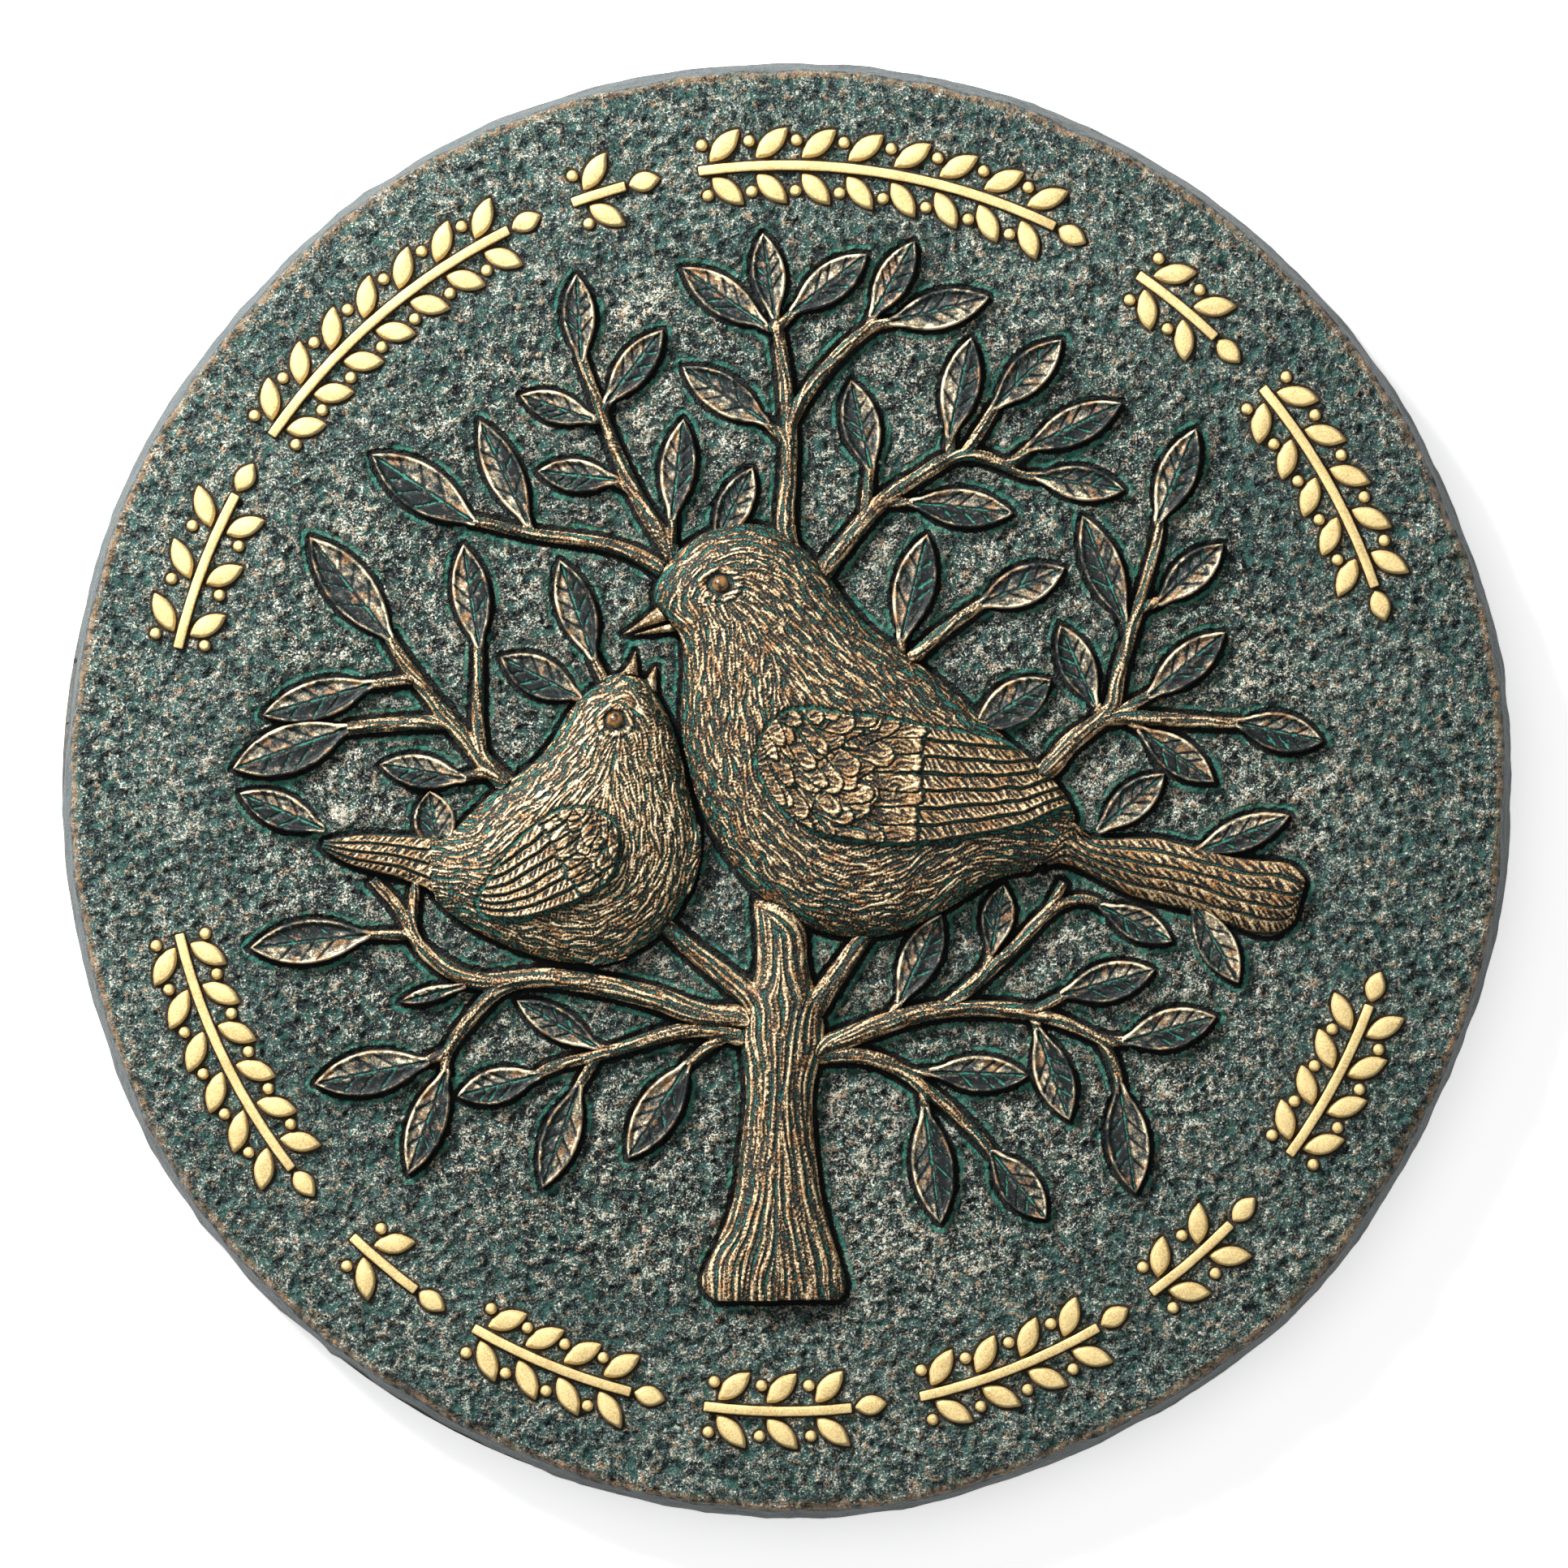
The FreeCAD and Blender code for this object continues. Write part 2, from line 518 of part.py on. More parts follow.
def sprig(first, last):
    """One gold sprig: a curved stem, pairs of leaves, a berry by each pair and a last leaf."""
    way = 1 if last > first else -1
    radius = BORDER_RADIUS * ART
    inner = radius - SPRIG_STEM_WIDTH / 2
    outer = radius + SPRIG_STEM_WIDTH / 2
    per_mm = math.degrees(1 / radius)
    stem_end = last - way * per_mm * SPRIG_LEAF_LENGTH * 0.8
    span = abs(stem_end - first)
    ring = Part.makeCylinder(outer, SPRIG_RELIEF, Vector(0, 0, FACE_Z), UP, span)
    hole = Part.makeCylinder(inner, SPRIG_RELIEF, Vector(0, 0, FACE_Z), UP, span)
    stem = ring.cut(hole)
    stem.rotate(Vector(0, 0, 0), UP, min(first, stem_end))
    pieces = [stem]

    def place(degrees, offset):
        x, y = polar(radius + offset, degrees)
        return Vector(x, y, FACE_Z)

    end_foot = place(stem_end + way * per_mm * SPRIG_LEAF_GAP, 0)
    pieces.append(leaf_blank(end_foot, place(last, 0), SPRIG_LEAF_WIDTH, SPRIG_RELIEF))
    pairs = max(1, int(math.radians(span) * radius / SPRIG_PITCH))
    lean = math.radians(SPRIG_LEAF_ANGLE)
    for i in range(pairs):
        degrees = first + way * span * (i + 0.25) / pairs
        for side in (1, -1):
            offset = side * (SPRIG_STEM_WIDTH / 2 + SPRIG_LEAF_GAP)
            foot = place(degrees, offset)
            tip = place(degrees + way * per_mm * SPRIG_LEAF_LENGTH * math.cos(lean),
                        offset + side * SPRIG_LEAF_LENGTH * math.sin(lean))
            pieces.append(leaf_blank(foot, tip, SPRIG_LEAF_WIDTH, SPRIG_RELIEF))
            berry = place(degrees - way * per_mm * SPRIG_BERRY_BACK, side * SPRIG_BERRY_OFFSET)
            pieces.append(Part.makeCone(SPRIG_BERRY_RADIUS,
                                        SPRIG_BERRY_RADIUS * SPRIG_BERRY_TAPER,
                                        SPRIG_RELIEF, berry, UP))
    return pieces


# ---------------------------------------------------------------- the hanger in the back
PLATE_Y = PLATE_CENTRE_Y * ART
KEYHOLE_Y = PLATE_Y - KEYHOLE_TRAVEL / 2
SLOT_END_Y = PLATE_Y + KEYHOLE_TRAVEL / 2
PLATE_TOP = PLATE_SUNK + PLATE_THICKNESS


def rounded_slab(width, length, corner, low, high):
    """A slab with round corners, about the plate's middle, between two heights."""
    slab = Part.makeBox(width, length, high - low,
                        Vector(-width / 2, PLATE_Y - length / 2, low))
    upright = [e for e in slab.Edges if abs(e.tangentAt(e.FirstParameter).z) > 0.9]
    return slab.makeFillet(corner, upright)


def keyhole(low, high):
    """The round entry and the slot above it."""
    entry = Part.makeCylinder(KEYHOLE_RADIUS, high - low, Vector(0, KEYHOLE_Y, low))
    slot = Part.makeBox(2 * KEYHOLE_SLOT_HALF, SLOT_END_Y - KEYHOLE_Y, high - low,
                        Vector(-KEYHOLE_SLOT_HALF, KEYHOLE_Y, low))
    slot_end = Part.makeCylinder(KEYHOLE_SLOT_HALF, high - low, Vector(0, SLOT_END_Y, low))
    return entry.fuse([slot, slot_end])


def screw_place(side):
    """The middle of a screw's head, at the plate's upper (1) or lower (-1) end."""
    return Vector(0, PLATE_Y + side * (PLATE_LENGTH / 2 - SCREW_EDGE), PLATE_SUNK)


def screw_blank(side, clearance):
    """A countersunk screw's head, and its shank made larger all round by a clearance."""
    foot = screw_place(side)
    head = Part.makeCone(SCREW_HEAD_RADIUS, SCREW_SHANK_RADIUS, PLATE_THICKNESS, foot, UP)
    shank = Part.makeCylinder(SCREW_SHANK_RADIUS + clearance,
                              SCREW_LENGTH - PLATE_THICKNESS,
                              foot + UP * PLATE_THICKNESS, UP)
    return head, shank


def screw(side):
    """A countersunk screw with a straight driver slot."""
    head, shank = screw_blank(side, 0.0)
    foot = screw_place(side)
    driver = Part.makeBox(DRIVER_SLOT_WIDTH, 2 * SCREW_HEAD_RADIUS, DRIVER_SLOT_DEPTH,
                          foot - Vector(DRIVER_SLOT_WIDTH / 2, SCREW_HEAD_RADIUS, 0))
    return head.fuse(shank).removeSplitter().cut(driver)


def hanger_plate():
    """The keyhole plate with its two countersinks."""
    plate = rounded_slab(PLATE_WIDTH, PLATE_LENGTH, PLATE_CORNER, PLATE_SUNK, PLATE_TOP)
    holes = [keyhole(PLATE_SUNK, PLATE_TOP)]
    holes.extend(screw_blank(side, 0.0)[0] for side in (1, -1))
    return plate.cut(holes)


def stone_disc():
    """The cast disc, with the plate's recess, the pocket behind it and the screw holes."""
    rise = FACE_Z - EDGE_ROUND
    top_radius = FACE_RADIUS - EDGE_ROUND
    middle_angle = math.radians(45)
    outline = [
        Part.makeLine(Vector(0, 0, 0), Vector(FOOT_RADIUS - FOOT_CHAMFER, 0, 0)),
        Part.makeLine(Vector(FOOT_RADIUS - FOOT_CHAMFER, 0, 0),
                      Vector(FOOT_RADIUS, 0, FOOT_CHAMFER)),
        Part.makeLine(Vector(FOOT_RADIUS, 0, FOOT_CHAMFER), Vector(FACE_RADIUS, 0, rise)),
        Part.Arc(Vector(FACE_RADIUS, 0, rise),
                 Vector(top_radius + EDGE_ROUND * math.cos(middle_angle), 0,
                        rise + EDGE_ROUND * math.sin(middle_angle)),
                 Vector(top_radius, 0, FACE_Z)).toShape(),
        Part.makeLine(Vector(top_radius, 0, FACE_Z), Vector(0, 0, FACE_Z)),
        Part.makeLine(Vector(0, 0, FACE_Z), Vector(0, 0, 0)),
    ]
    disc = Part.Face(Part.Wire(outline)).revolve(Vector(0, 0, 0), UP, 360)
    grow = 2 * PLATE_CLEARANCE
    recess = rounded_slab(PLATE_WIDTH + grow, PLATE_LENGTH + grow,
                          PLATE_CORNER + PLATE_CLEARANCE, 0.0, PLATE_TOP)
    pocket_low = KEYHOLE_Y - KEYHOLE_RADIUS - POCKET_MARGIN
    pocket_high = SLOT_END_Y + KEYHOLE_SLOT_HALF + POCKET_MARGIN
    pocket_width = PLATE_WIDTH - 2 * PLATE_LEDGE
    pocket = Part.makeBox(pocket_width, pocket_high - pocket_low, POCKET_DEPTH,
                          Vector(-pocket_width / 2, pocket_low, PLATE_TOP))
    bores = [screw_blank(side, SCREW_CLEARANCE)[1] for side in (1, -1)]
    return disc.cut([recess, pocket] + bores)


# ---------------------------------------------------------------- the whole stone
def build():
    """Every node's shape, by name."""
    nodes = {"stone_disc": stone_disc()}

    adult = bird("adult_bird", ADULT_BODY, ADULT_RELIEF, ADULT_TAIL,
                 [ADULT_BILL_UPPER, ADULT_BILL_LOWER], ADULT_WING, ADULT_EYE)
    young = bird("young_bird", YOUNG_BODY, YOUNG_RELIEF, YOUNG_TAIL,
                 [YOUNG_BILL_UPPER, YOUNG_BILL_LOWER], YOUNG_WING, YOUNG_EYE)
    adult_pieces = list(adult.values())
    for name, piece in young.items():
        young[name] = clear_of(piece, adult_pieces)
    nodes.update(adult)
    nodes.update(young)
    birds = adult_pieces + list(young.values())

    stubs = [limb(*stub) for stub in TRUNK_STUBS]
    trunk = rounded_body(TRUNK, TRUNK_RELIEF).fuse(stubs)
    trunk = clear_of(trunk, birds)
    nodes["tree_trunk"] = trunk

    standing = birds + [trunk]
    for name, bough in BOUGHS.items():
        limbs = [limb(*one) for one in bough["limbs"]]
        whole = limbs[0].fuse(limbs[1:])
        whole = clear_of(whole, standing)
        nodes["bough_" + name] = whole
        standing.append(whole)
    for name, bough in BOUGHS.items():
        leaves = [clear_of(leaf(*one), standing) for one in bough["leaves"]]
        nodes["leaves_" + name] = solids_of(leaves)

    nodes["upper_border_sprigs"] = solids_of([p for s in UPPER_SPRIGS for p in sprig(*s)])
    nodes["lower_border_sprigs"] = solids_of([p for s in LOWER_SPRIGS for p in sprig(*s)])

    nodes["keyhole_plate"] = hanger_plate()
    nodes["plate_screws"] = solids_of([screw(1), screw(-1)])
    return nodes


os.makedirs("parts", exist_ok=True)
for node_name, shape in build().items():
    print(node_name, "solids", len(shape.Solids), "valid", shape.isValid(),
          "volume", round(sum(s.Volume for s in shape.Solids), 1))
    shape.exportStep(os.path.join("parts", node_name + ".step"))
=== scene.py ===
import bpy
import bmesh
import math
import numpy as np
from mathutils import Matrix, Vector
from mathutils.bvhtree import BVHTree
from mathutils.kdtree import KDTree


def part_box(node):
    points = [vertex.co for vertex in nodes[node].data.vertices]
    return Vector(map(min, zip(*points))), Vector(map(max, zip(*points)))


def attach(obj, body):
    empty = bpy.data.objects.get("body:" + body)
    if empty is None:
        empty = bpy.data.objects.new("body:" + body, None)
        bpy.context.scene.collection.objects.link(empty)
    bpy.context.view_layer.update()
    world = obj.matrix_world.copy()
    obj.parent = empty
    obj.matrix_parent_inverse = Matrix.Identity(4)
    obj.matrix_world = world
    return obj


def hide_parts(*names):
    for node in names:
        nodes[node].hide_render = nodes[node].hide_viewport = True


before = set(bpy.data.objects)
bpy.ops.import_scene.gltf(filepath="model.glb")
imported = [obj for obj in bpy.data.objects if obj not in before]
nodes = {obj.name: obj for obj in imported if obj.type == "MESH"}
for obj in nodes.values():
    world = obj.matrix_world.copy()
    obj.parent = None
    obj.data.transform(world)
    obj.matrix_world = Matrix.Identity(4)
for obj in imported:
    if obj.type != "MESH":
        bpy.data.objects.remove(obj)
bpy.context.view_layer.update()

# The camera hangs far above the stone and looks straight down at the sculpted face, with +Y up.
# The long lens keeps the round edge from leaning outwards.
face_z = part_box("stone_disc")[1].z
camera_distance = 3.0
view_width = 0.3216
camera = bpy.data.objects.new("camera", bpy.data.cameras.new("camera"))
camera.data.sensor_width = 36.0
camera.data.lens = 36.0 * camera_distance / view_width
camera.data.clip_end = 20.0
camera.location = (-0.00025, 0.0009, face_z + camera_distance)
bpy.context.scene.collection.objects.link(camera)
bpy.context.scene.camera = camera

# Studio: a small soft box up to the left, a weak one to the right, a broad one overhead and a
# white room, all over a plain pale table top.
bpy.context.scene.view_settings.view_transform = "Standard"
for name, place, size, watts in [
        ("key_light", (-0.49, 0.53, 0.48), 0.31, 16.6),
        ("fill_light", (0.9, -0.6, 1.1), 1.2, 2.0),
        ("top_light", (-0.35, 0.35, 1.6), 1.2, 5.5)]:
    lamp = bpy.data.lights.new(name, "AREA")
    lamp.shape = "DISK"
    lamp.size = size
    lamp.energy = watts
    light = bpy.data.objects.new(name, lamp)
    light.location = place
    light.rotation_euler = (Vector((0, 0, 0.02)) - Vector(place)).to_track_quat("-Z", "Y").to_euler()
    bpy.context.scene.collection.objects.link(light)

room = bpy.data.worlds.new("room")
bpy.context.scene.world = room
room.use_nodes = True
room.node_tree.nodes["Background"].inputs["Color"].default_value = (1.0, 1.0, 1.0, 1.0)
room.node_tree.nodes["Background"].inputs["Strength"].default_value = 0.28

bpy.ops.object.select_all(action="DESELECT")
bpy.ops.mesh.primitive_plane_add(size=8.0, location=(0.0, 0.0, -0.0004))
table_top = bpy.context.object
table_top.name = "table_top"
pale = bpy.data.materials.new("pale_table")
pale.use_nodes = True
pale.node_tree.nodes["Principled BSDF"].inputs["Base Color"].default_value = (0.93, 0.93, 0.93, 1.0)
pale.node_tree.nodes["Principled BSDF"].inputs["Roughness"].default_value = 0.7
pale.node_tree.nodes["Principled BSDF"].inputs["Emission Color"].default_value = (1.0, 1.0, 1.0, 1.0)
pale.node_tree.nodes["Principled BSDF"].inputs["Emission Strength"].default_value = 0.52
table_top.data.materials.append(pale)

# ---------------------------------------------------------------------------------------------
# The adult bird's body: one high, smooth pebble of cast stone, engraved all over with short
# feather strokes that run from the bill over the crown, back and breast to the tail. It was
# painted dark, rubbed with bronze and gold, and green was left in the cuts. Painted shade
# darkens its low flanks and the band round the wing.
plumb_from = face_z + 0.1


def blur(field, reach):
    """A field or a mask smoothed by a Gaussian of that many cells."""
    rows, columns = field.shape
    fy = np.fft.fftfreq(rows)[:, None]
    fx = np.fft.rfftfreq(columns)[None, :]
    keep = np.exp(-2.0 * (math.pi * reach) ** 2 * (fx * fx + fy * fy))
    return np.fft.irfft2(np.fft.rfft2(field.astype(float)) * keep, s=field.shape)


def lumps(shape, cells, seed):
    """Smooth unit noise with lumps of about that many cells."""
    field = np.random.default_rng(seed).standard_normal(shape)
    field = blur(field, 0.24 * cells) - blur(field, 0.6 * cells)
    return field / field.std()


def smoothstep(low, high, value):
    t = np.clip((value - low) / (high - low), 0.0, 1.0)
    return t * t * (3.0 - 2.0 * t)


def tree_of(names):
    """A search tree of the CAD pieces' faces."""
    corners, faces = [], []
    for name in names:
        mesh = nodes[name].data
        base = len(corners)
        corners.extend(v.co.copy() for v in mesh.vertices)
        faces.extend([base + i for i in p.vertices] for p in mesh.polygons)
    return BVHTree.FromPolygons(corners, faces)


def height_under(tree, xs, ys):
    """Height above the face, in mm, of what a plumb line meets at each grid place, else NaN."""
    found = np.full((len(ys), len(xs)), np.nan)
    down = Vector((0.0, 0.0, -1.0))
    for row, y in enumerate(ys):
        for column, x in enumerate(xs):
            hit = tree.ray_cast(Vector((x / 1000, y / 1000, plumb_from)), down)[0]
            if hit is not None:
                found[row, column] = (hit.z - face_z) * 1000
    return found


def height_of(names, xs, ys):
    """Height above the face, in mm, of some CAD pieces at each grid place, else NaN."""
    return height_under(tree_of(names), xs, ys)


def plot_of(name, pitch, margin=2.0):
    """The grid lines, in mm, over a CAD piece."""
    low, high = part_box(name)
    return (np.arange(low.x * 1000 - margin, high.x * 1000 + margin, pitch),
            np.arange(low.y * 1000 - margin, high.y * 1000 + margin, pitch))


def settled(height, cells):
    """The height smoothed inside its own outline."""
    inside = ~np.isnan(height)
    weight = blur(inside, cells)
    level = blur(np.where(inside, height, 0.0), cells) / np.maximum(weight, 0.02)
    return np.where(inside, level, np.nan)


def feather_flow(inside, pitch, reach=1.4):
    """At each grid place, the direction that follows the nearest edges, as an angle."""
    soft = blur(inside, reach / pitch)
    gy, gx = np.gradient(soft)
    along = np.arctan2(gx, -gy)
    pull = gx * gx + gy * gy
    pull = pull / pull.max()
    c = pull * np.cos(2 * along)
    s = pull * np.sin(2 * along)
    total_c = np.zeros_like(c)
    total_s = np.zeros_like(s)
    for reach in (1.5, 3.0, 6.0, 12.0):
        w = 1.0 / (1.0 + reach) ** 2
        total_c += w * blur(c, reach / pitch) / (blur(pull, reach / pitch) + 1e-4)
        total_s += w * blur(s, reach / pitch) / (blur(pull, reach / pitch) + 1e-4)
    return 0.5 * np.arctan2(total_s, total_c)


def strokes(angle, pitch, length, spacing, seed):
    """Engraver's strokes along the flow: a field of about -1 to 1 with the given stroke length
    and spacing in mm."""
    rng = np.random.default_rng(seed)
    grain = rng.standard_normal(angle.shape)
    grain = blur(grain, 0.20 * spacing / pitch) - blur(grain, 0.42 * spacing / pitch)
    rows, columns = angle.shape
    vx, vy = np.cos(angle), np.sin(angle)
    stride = 1.4
    steps = max(3, int(length / 2 / (stride * pitch)))
    total = grain.copy()
    for way in (1.0, -1.0):
        py, px = np.mgrid[0:rows, 0:columns].astype(float)
        hx, hy = way * vx, way * vy
        for step in range(steps):
            px += stride * hx
            py += stride * hy
            ix = np.clip(px.round().astype(int), 0, columns - 1)
            iy = np.clip(py.round().astype(int), 0, rows - 1)
            nx, ny = vx[iy, ix], vy[iy, ix]
            turn = np.sign(nx * hx + ny * hy + 1e-9)
            hx, hy = nx * turn, ny * turn
            total += grain[iy, ix] * (1.0 - step / steps) ** 0.5
    total /= total.std()
    return np.tanh(1.5 * total)


def fresh_grid(name, columns, rows):
    """A flat grid with that many corners along its two sides."""
    bpy.ops.object.select_all(action="DESELECT")
    bpy.ops.mesh.primitive_grid_add(x_subdivisions=columns - 1, y_subdivisions=rows - 1, size=1.0)
    grid = bpy.context.object
    grid.name = name
    grid.data.name = name
    return grid


def lay_out(piece, x, y, z, values):
    """Moves a grid's corners to places in mm, z from the face, and gives them attributes."""
    places = np.stack([x / 1000, y / 1000, face_z + z / 1000], axis=-1)
    piece.data.vertices.foreach_set("co", places.astype(np.float32).ravel())
    for label, value in values.items():
        layer = piece.data.attributes.new(label, "FLOAT", "POINT")
        layer.data.foreach_set("value", np.nan_to_num(value).astype(np.float32).ravel())


def trim(piece, keep):
    """Deletes the corners that aren't kept and smooths the rest."""
    mesh = piece.data
    mesh.vertices.foreach_set("select", (~keep).ravel())
    mesh.edges.foreach_set("select", np.zeros(len(mesh.edges), bool))
    mesh.polygons.foreach_set("select", np.zeros(len(mesh.polygons), bool))
    bpy.ops.object.mode_set(mode="EDIT")
    bpy.ops.mesh.select_mode(type="VERT")
    bpy.ops.mesh.delete(type="VERT")
    bpy.ops.object.mode_set(mode="OBJECT")
    bpy.ops.object.shade_smooth()
    flat_map(piece)


def carved_tile(name, xs, ys, height, values, joined=None):
    """A fine grid laid over a plot, raised to the height, cut to its outline and given a short
    skirt that goes down into the face, or a mere step where it joins its neighbour. The values
    ride along as attributes."""
    skirt_level = -0.9
    joint_step = 0.35
    inside = ~np.isnan(height)
    edge = inside.copy()
    edge[1:-1, 1:-1] &= ~(inside[:-2, 1:-1] & inside[2:, 1:-1]
                          & inside[1:-1, :-2] & inside[1:-1, 2:])
    z = np.where(inside, height, 0.0)
    if joined is None:
        joined = np.zeros_like(inside)
    z = np.where(edge, np.where(joined, z - joint_step, skirt_level), z)
    gx, gy = np.meshgrid(xs, ys)
    tile = fresh_grid(name, len(xs), len(ys))
    lay_out(tile, gx, gy, z, values)
    trim(tile, inside)
    return tile


def flat_map(piece):
    """Unwraps a piece straight down on to its own rectangle."""
    mesh = piece.data
    co = np.empty(len(mesh.vertices) * 3, np.float32)
    mesh.vertices.foreach_get("co", co)
    co = co.reshape(-1, 3)[:, :2]
    low = co.min(0)
    uv = (co - low) / (co.max(0) - low).max()
    corners = np.empty(len(mesh.loops), np.int32)
    mesh.loops.foreach_get("vertex_index", corners)
    while mesh.uv_layers:
        mesh.uv_layers.remove(mesh.uv_layers[0])
    layer = mesh.uv_layers.new(name="OFBake")
    layer.data.foreach_set("uv", uv[corners].ravel())


def feed(tree, node, inputs):
    """Gives a shader node its inputs; each is a value or another node's socket."""
    for key, value in inputs.items():
        if isinstance(value, bpy.types.NodeSocket):
            tree.links.new(value, node.inputs[key])
        else:
            node.inputs[key].default_value = value


def put(tree, kind, inputs=None, **settings):
    """Adds one shader node with its settings and inputs."""
    made = tree.nodes.new(kind)
    for key, value in settings.items():
        setattr(made, key, value)
    feed(tree, made, inputs or {})
    return made


def noise(tree, where, millimetres, detail=3.0, roughness=0.6, distortion=0.0):
    """Noise whose lumps are about that many millimetres across, from 0 to 1."""
    return put(tree, "ShaderNodeTexNoise", {
        "Vector": where, "Scale": 1000.0 / millimetres, "Detail": detail,
        "Roughness": roughness, "Distortion": distortion}).outputs["Fac"]


def times(tree, a, b):
    return put(tree, "ShaderNodeMath", {0: a, 1: b}, operation="MULTIPLY").outputs[0]


def plus(tree, a, b):
    return put(tree, "ShaderNodeMath", {0: a, 1: b}, operation="ADD").outputs[0]


def swing(tree, value, middle, share):
    """How far a value is above its middle, times its share."""
    return times(tree, plus(tree, value, -middle), share)


def ramp(tree, value, low, high, to_low=0.0, to_high=1.0):
    """Smoothly from to_low at low to to_high at high."""
    return put(tree, "ShaderNodeMapRange", {
        "Value": value, "From Min": low, "From Max": high, "To Min": to_low, "To Max": to_high},
        interpolation_type="SMOOTHSTEP").outputs[0]


def over(tree, under, colour, amount):
    """One colour painted over another."""
    return put(tree, "ShaderNodeMix", {"Factor": amount, "A": under, "B": colour},
               data_type="RGBA").outputs["Result"]


def bumps(tree, height, millimetres, strength=1.0):
    """The normals of a surface with bumps that deep."""
    return put(tree, "ShaderNodeBump", {
        "Height": height, "Strength": strength, "Distance": millimetres / 1000}).outputs["Normal"]


def place_on(tree):
    """The place on the object, in its own coordinates."""
    return put(tree, "ShaderNodeTexCoord").outputs["Object"]


def new_finish(name):
    """A material with its node tree and its shader."""
    made = bpy.data.materials.new(name)
    made.use_nodes = True
    return made, made.node_tree, made.node_tree.nodes["Principled BSDF"]


def paint(red, green, blue):
    """A paint given as it looks, in 0-255 parts, in the linear values that shaders use."""
    linear = []
    for part in (red, green, blue):
        part = part / 255.0
        linear.append(part / 12.92 if part <= 0.04045 else ((part + 0.055) / 1.055) ** 2.4)
    return (*linear, 1.0)


# The rubbed bronze finish, shared by birds, bark and leaves: verdigris in the deepest cuts, soot
# black beside them, then brown, bronze and worn pale gold on what stands proud.
bronze_rub = bpy.data.node_groups.new("bronze rub", "ShaderNodeTree")
for way, kind, labels in [
        ("INPUT", "NodeSocketFloat", ["Carving", "Wear", "Speckle"]),
        ("INPUT", "NodeSocketColor", ["Verdigris", "Soot", "Brown", "Bronze", "Gold"]),
        ("OUTPUT", "NodeSocketColor", ["Colour"]),
        ("OUTPUT", "NodeSocketFloat", ["Roughness", "Grain"])]:
    for label in labels:
        bronze_rub.interface.new_socket(name=label, in_out=way, socket_type=kind)
tree = bronze_rub
given = put(tree, "NodeGroupInput").outputs
where = place_on(tree)
fine = noise(tree, where, 0.42, detail=3.0, roughness=0.7)
middle = noise(tree, where, 2.2, detail=3.0, roughness=0.6)
wide = noise(tree, where, 12.0, detail=2.0)
speckle = plus(tree, swing(tree, fine, 0.5, 3.0), swing(tree, middle, 0.5, 1.2))
level = plus(tree, given["Carving"], times(tree, speckle, given["Speckle"]))
level = plus(tree, level, swing(tree, wide, 0.45, given["Wear"]))
colour = given["Verdigris"]
for label, low, high in [("Soot", -0.50, -0.38), ("Brown", 0.18, 0.32), ("Bronze", 0.46, 0.62),
                         ("Gold", 0.78, 0.96)]:
    colour = over(tree, colour, given[label], ramp(tree, level, low, high))
rust = times(tree, ramp(tree, level, 0.30, 0.55),
             ramp(tree, noise(tree, where, 3.4, detail=4.0), 0.50, 0.62))
colour = over(tree, colour, paint(156, 100, 46), times(tree, rust, 0.55))
put(tree, "NodeGroupOutput", {
    "Colour": colour,
    "Roughness": ramp(tree, level, 0.0, 1.0, 0.62, 0.40),
    "Grain": plus(tree, times(tree, fine, 0.5), times(tree, middle, 0.35))})


def bronze_paint(name, wear, brown, bronze, gold, grain_depth,
                 verdigris=(50, 112, 98), soot=(14, 18, 20), speckle=1.0):
    """A material in the rubbed bronze finish, driven by how deep the piece is carved and by the
    painted light and shade that some pieces add to that value.
    """
    made, tree, shader = new_finish(name)
    carving = put(tree, "ShaderNodeAttribute", attribute_name="carving").outputs["Fac"]
    rub = put(tree, "ShaderNodeGroup", node_tree=bronze_rub)
    feed(tree, rub, {"Carving": carving, "Wear": wear, "Speckle": speckle,
                     "Verdigris": paint(*verdigris), "Soot": paint(*soot),
                     "Brown": paint(*brown), "Bronze": paint(*bronze), "Gold": paint(*gold)})
    feed(tree, shader, {"Base Color": rub.outputs["Colour"],
                        "Roughness": rub.outputs["Roughness"], "Specular IOR Level": 0.3,
                        "Normal": bumps(tree, rub.outputs["Grain"], grain_depth)})
    return made


def finished(piece, material, slot_name, *replaced):
    """Paints a piece, fixes it to the stone and lets it stand for its CAD nodes."""
    piece.data.materials.clear()
    piece.data.materials.append(material)
    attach(piece, "root")
    if replaced:
        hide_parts(*replaced)


plumage_paint = bronze_paint("plumage_paint", 0.5, (66, 58, 46), (148, 118, 78),
                             (240, 220, 180), 0.30)


def bird_height(bird, xs, ys, pitch):
    """Height of a bird's body and tail as one skin, smoothed where they meet, and the places
    that belong to the body."""
    body = ~np.isnan(height_of([bird + "_body", bird + "_eye"], xs, ys))
    height = height_of([bird + "_body", bird + "_eye", bird + "_tail"], xs, ys)
    inside = ~np.isnan(height)
    fillet = 2.4 / pitch
    grown = blur(inside, fillet) > 0.20
    bridged = inside | (blur(grown, fillet) > 0.86)
    soft = 0.45 / pitch
    level = blur(np.where(inside, height, 0.0), soft)
    level /= np.maximum(blur(inside, soft), 0.02)
    broad = 2.2 / pitch
    spread = blur(np.where(inside, height, 0.0), broad)
    spread /= np.maximum(blur(inside, broad), 0.02)
    tail = bridged & ~body
    seam = blur(body, broad) * blur(tail, broad) * 4
    seam = np.clip(seam * 1.6, 0, 1)
    seam = np.where(inside, seam, 1.0)
    return np.where(bridged, level * (1 - seam) + spread * seam, np.nan), body


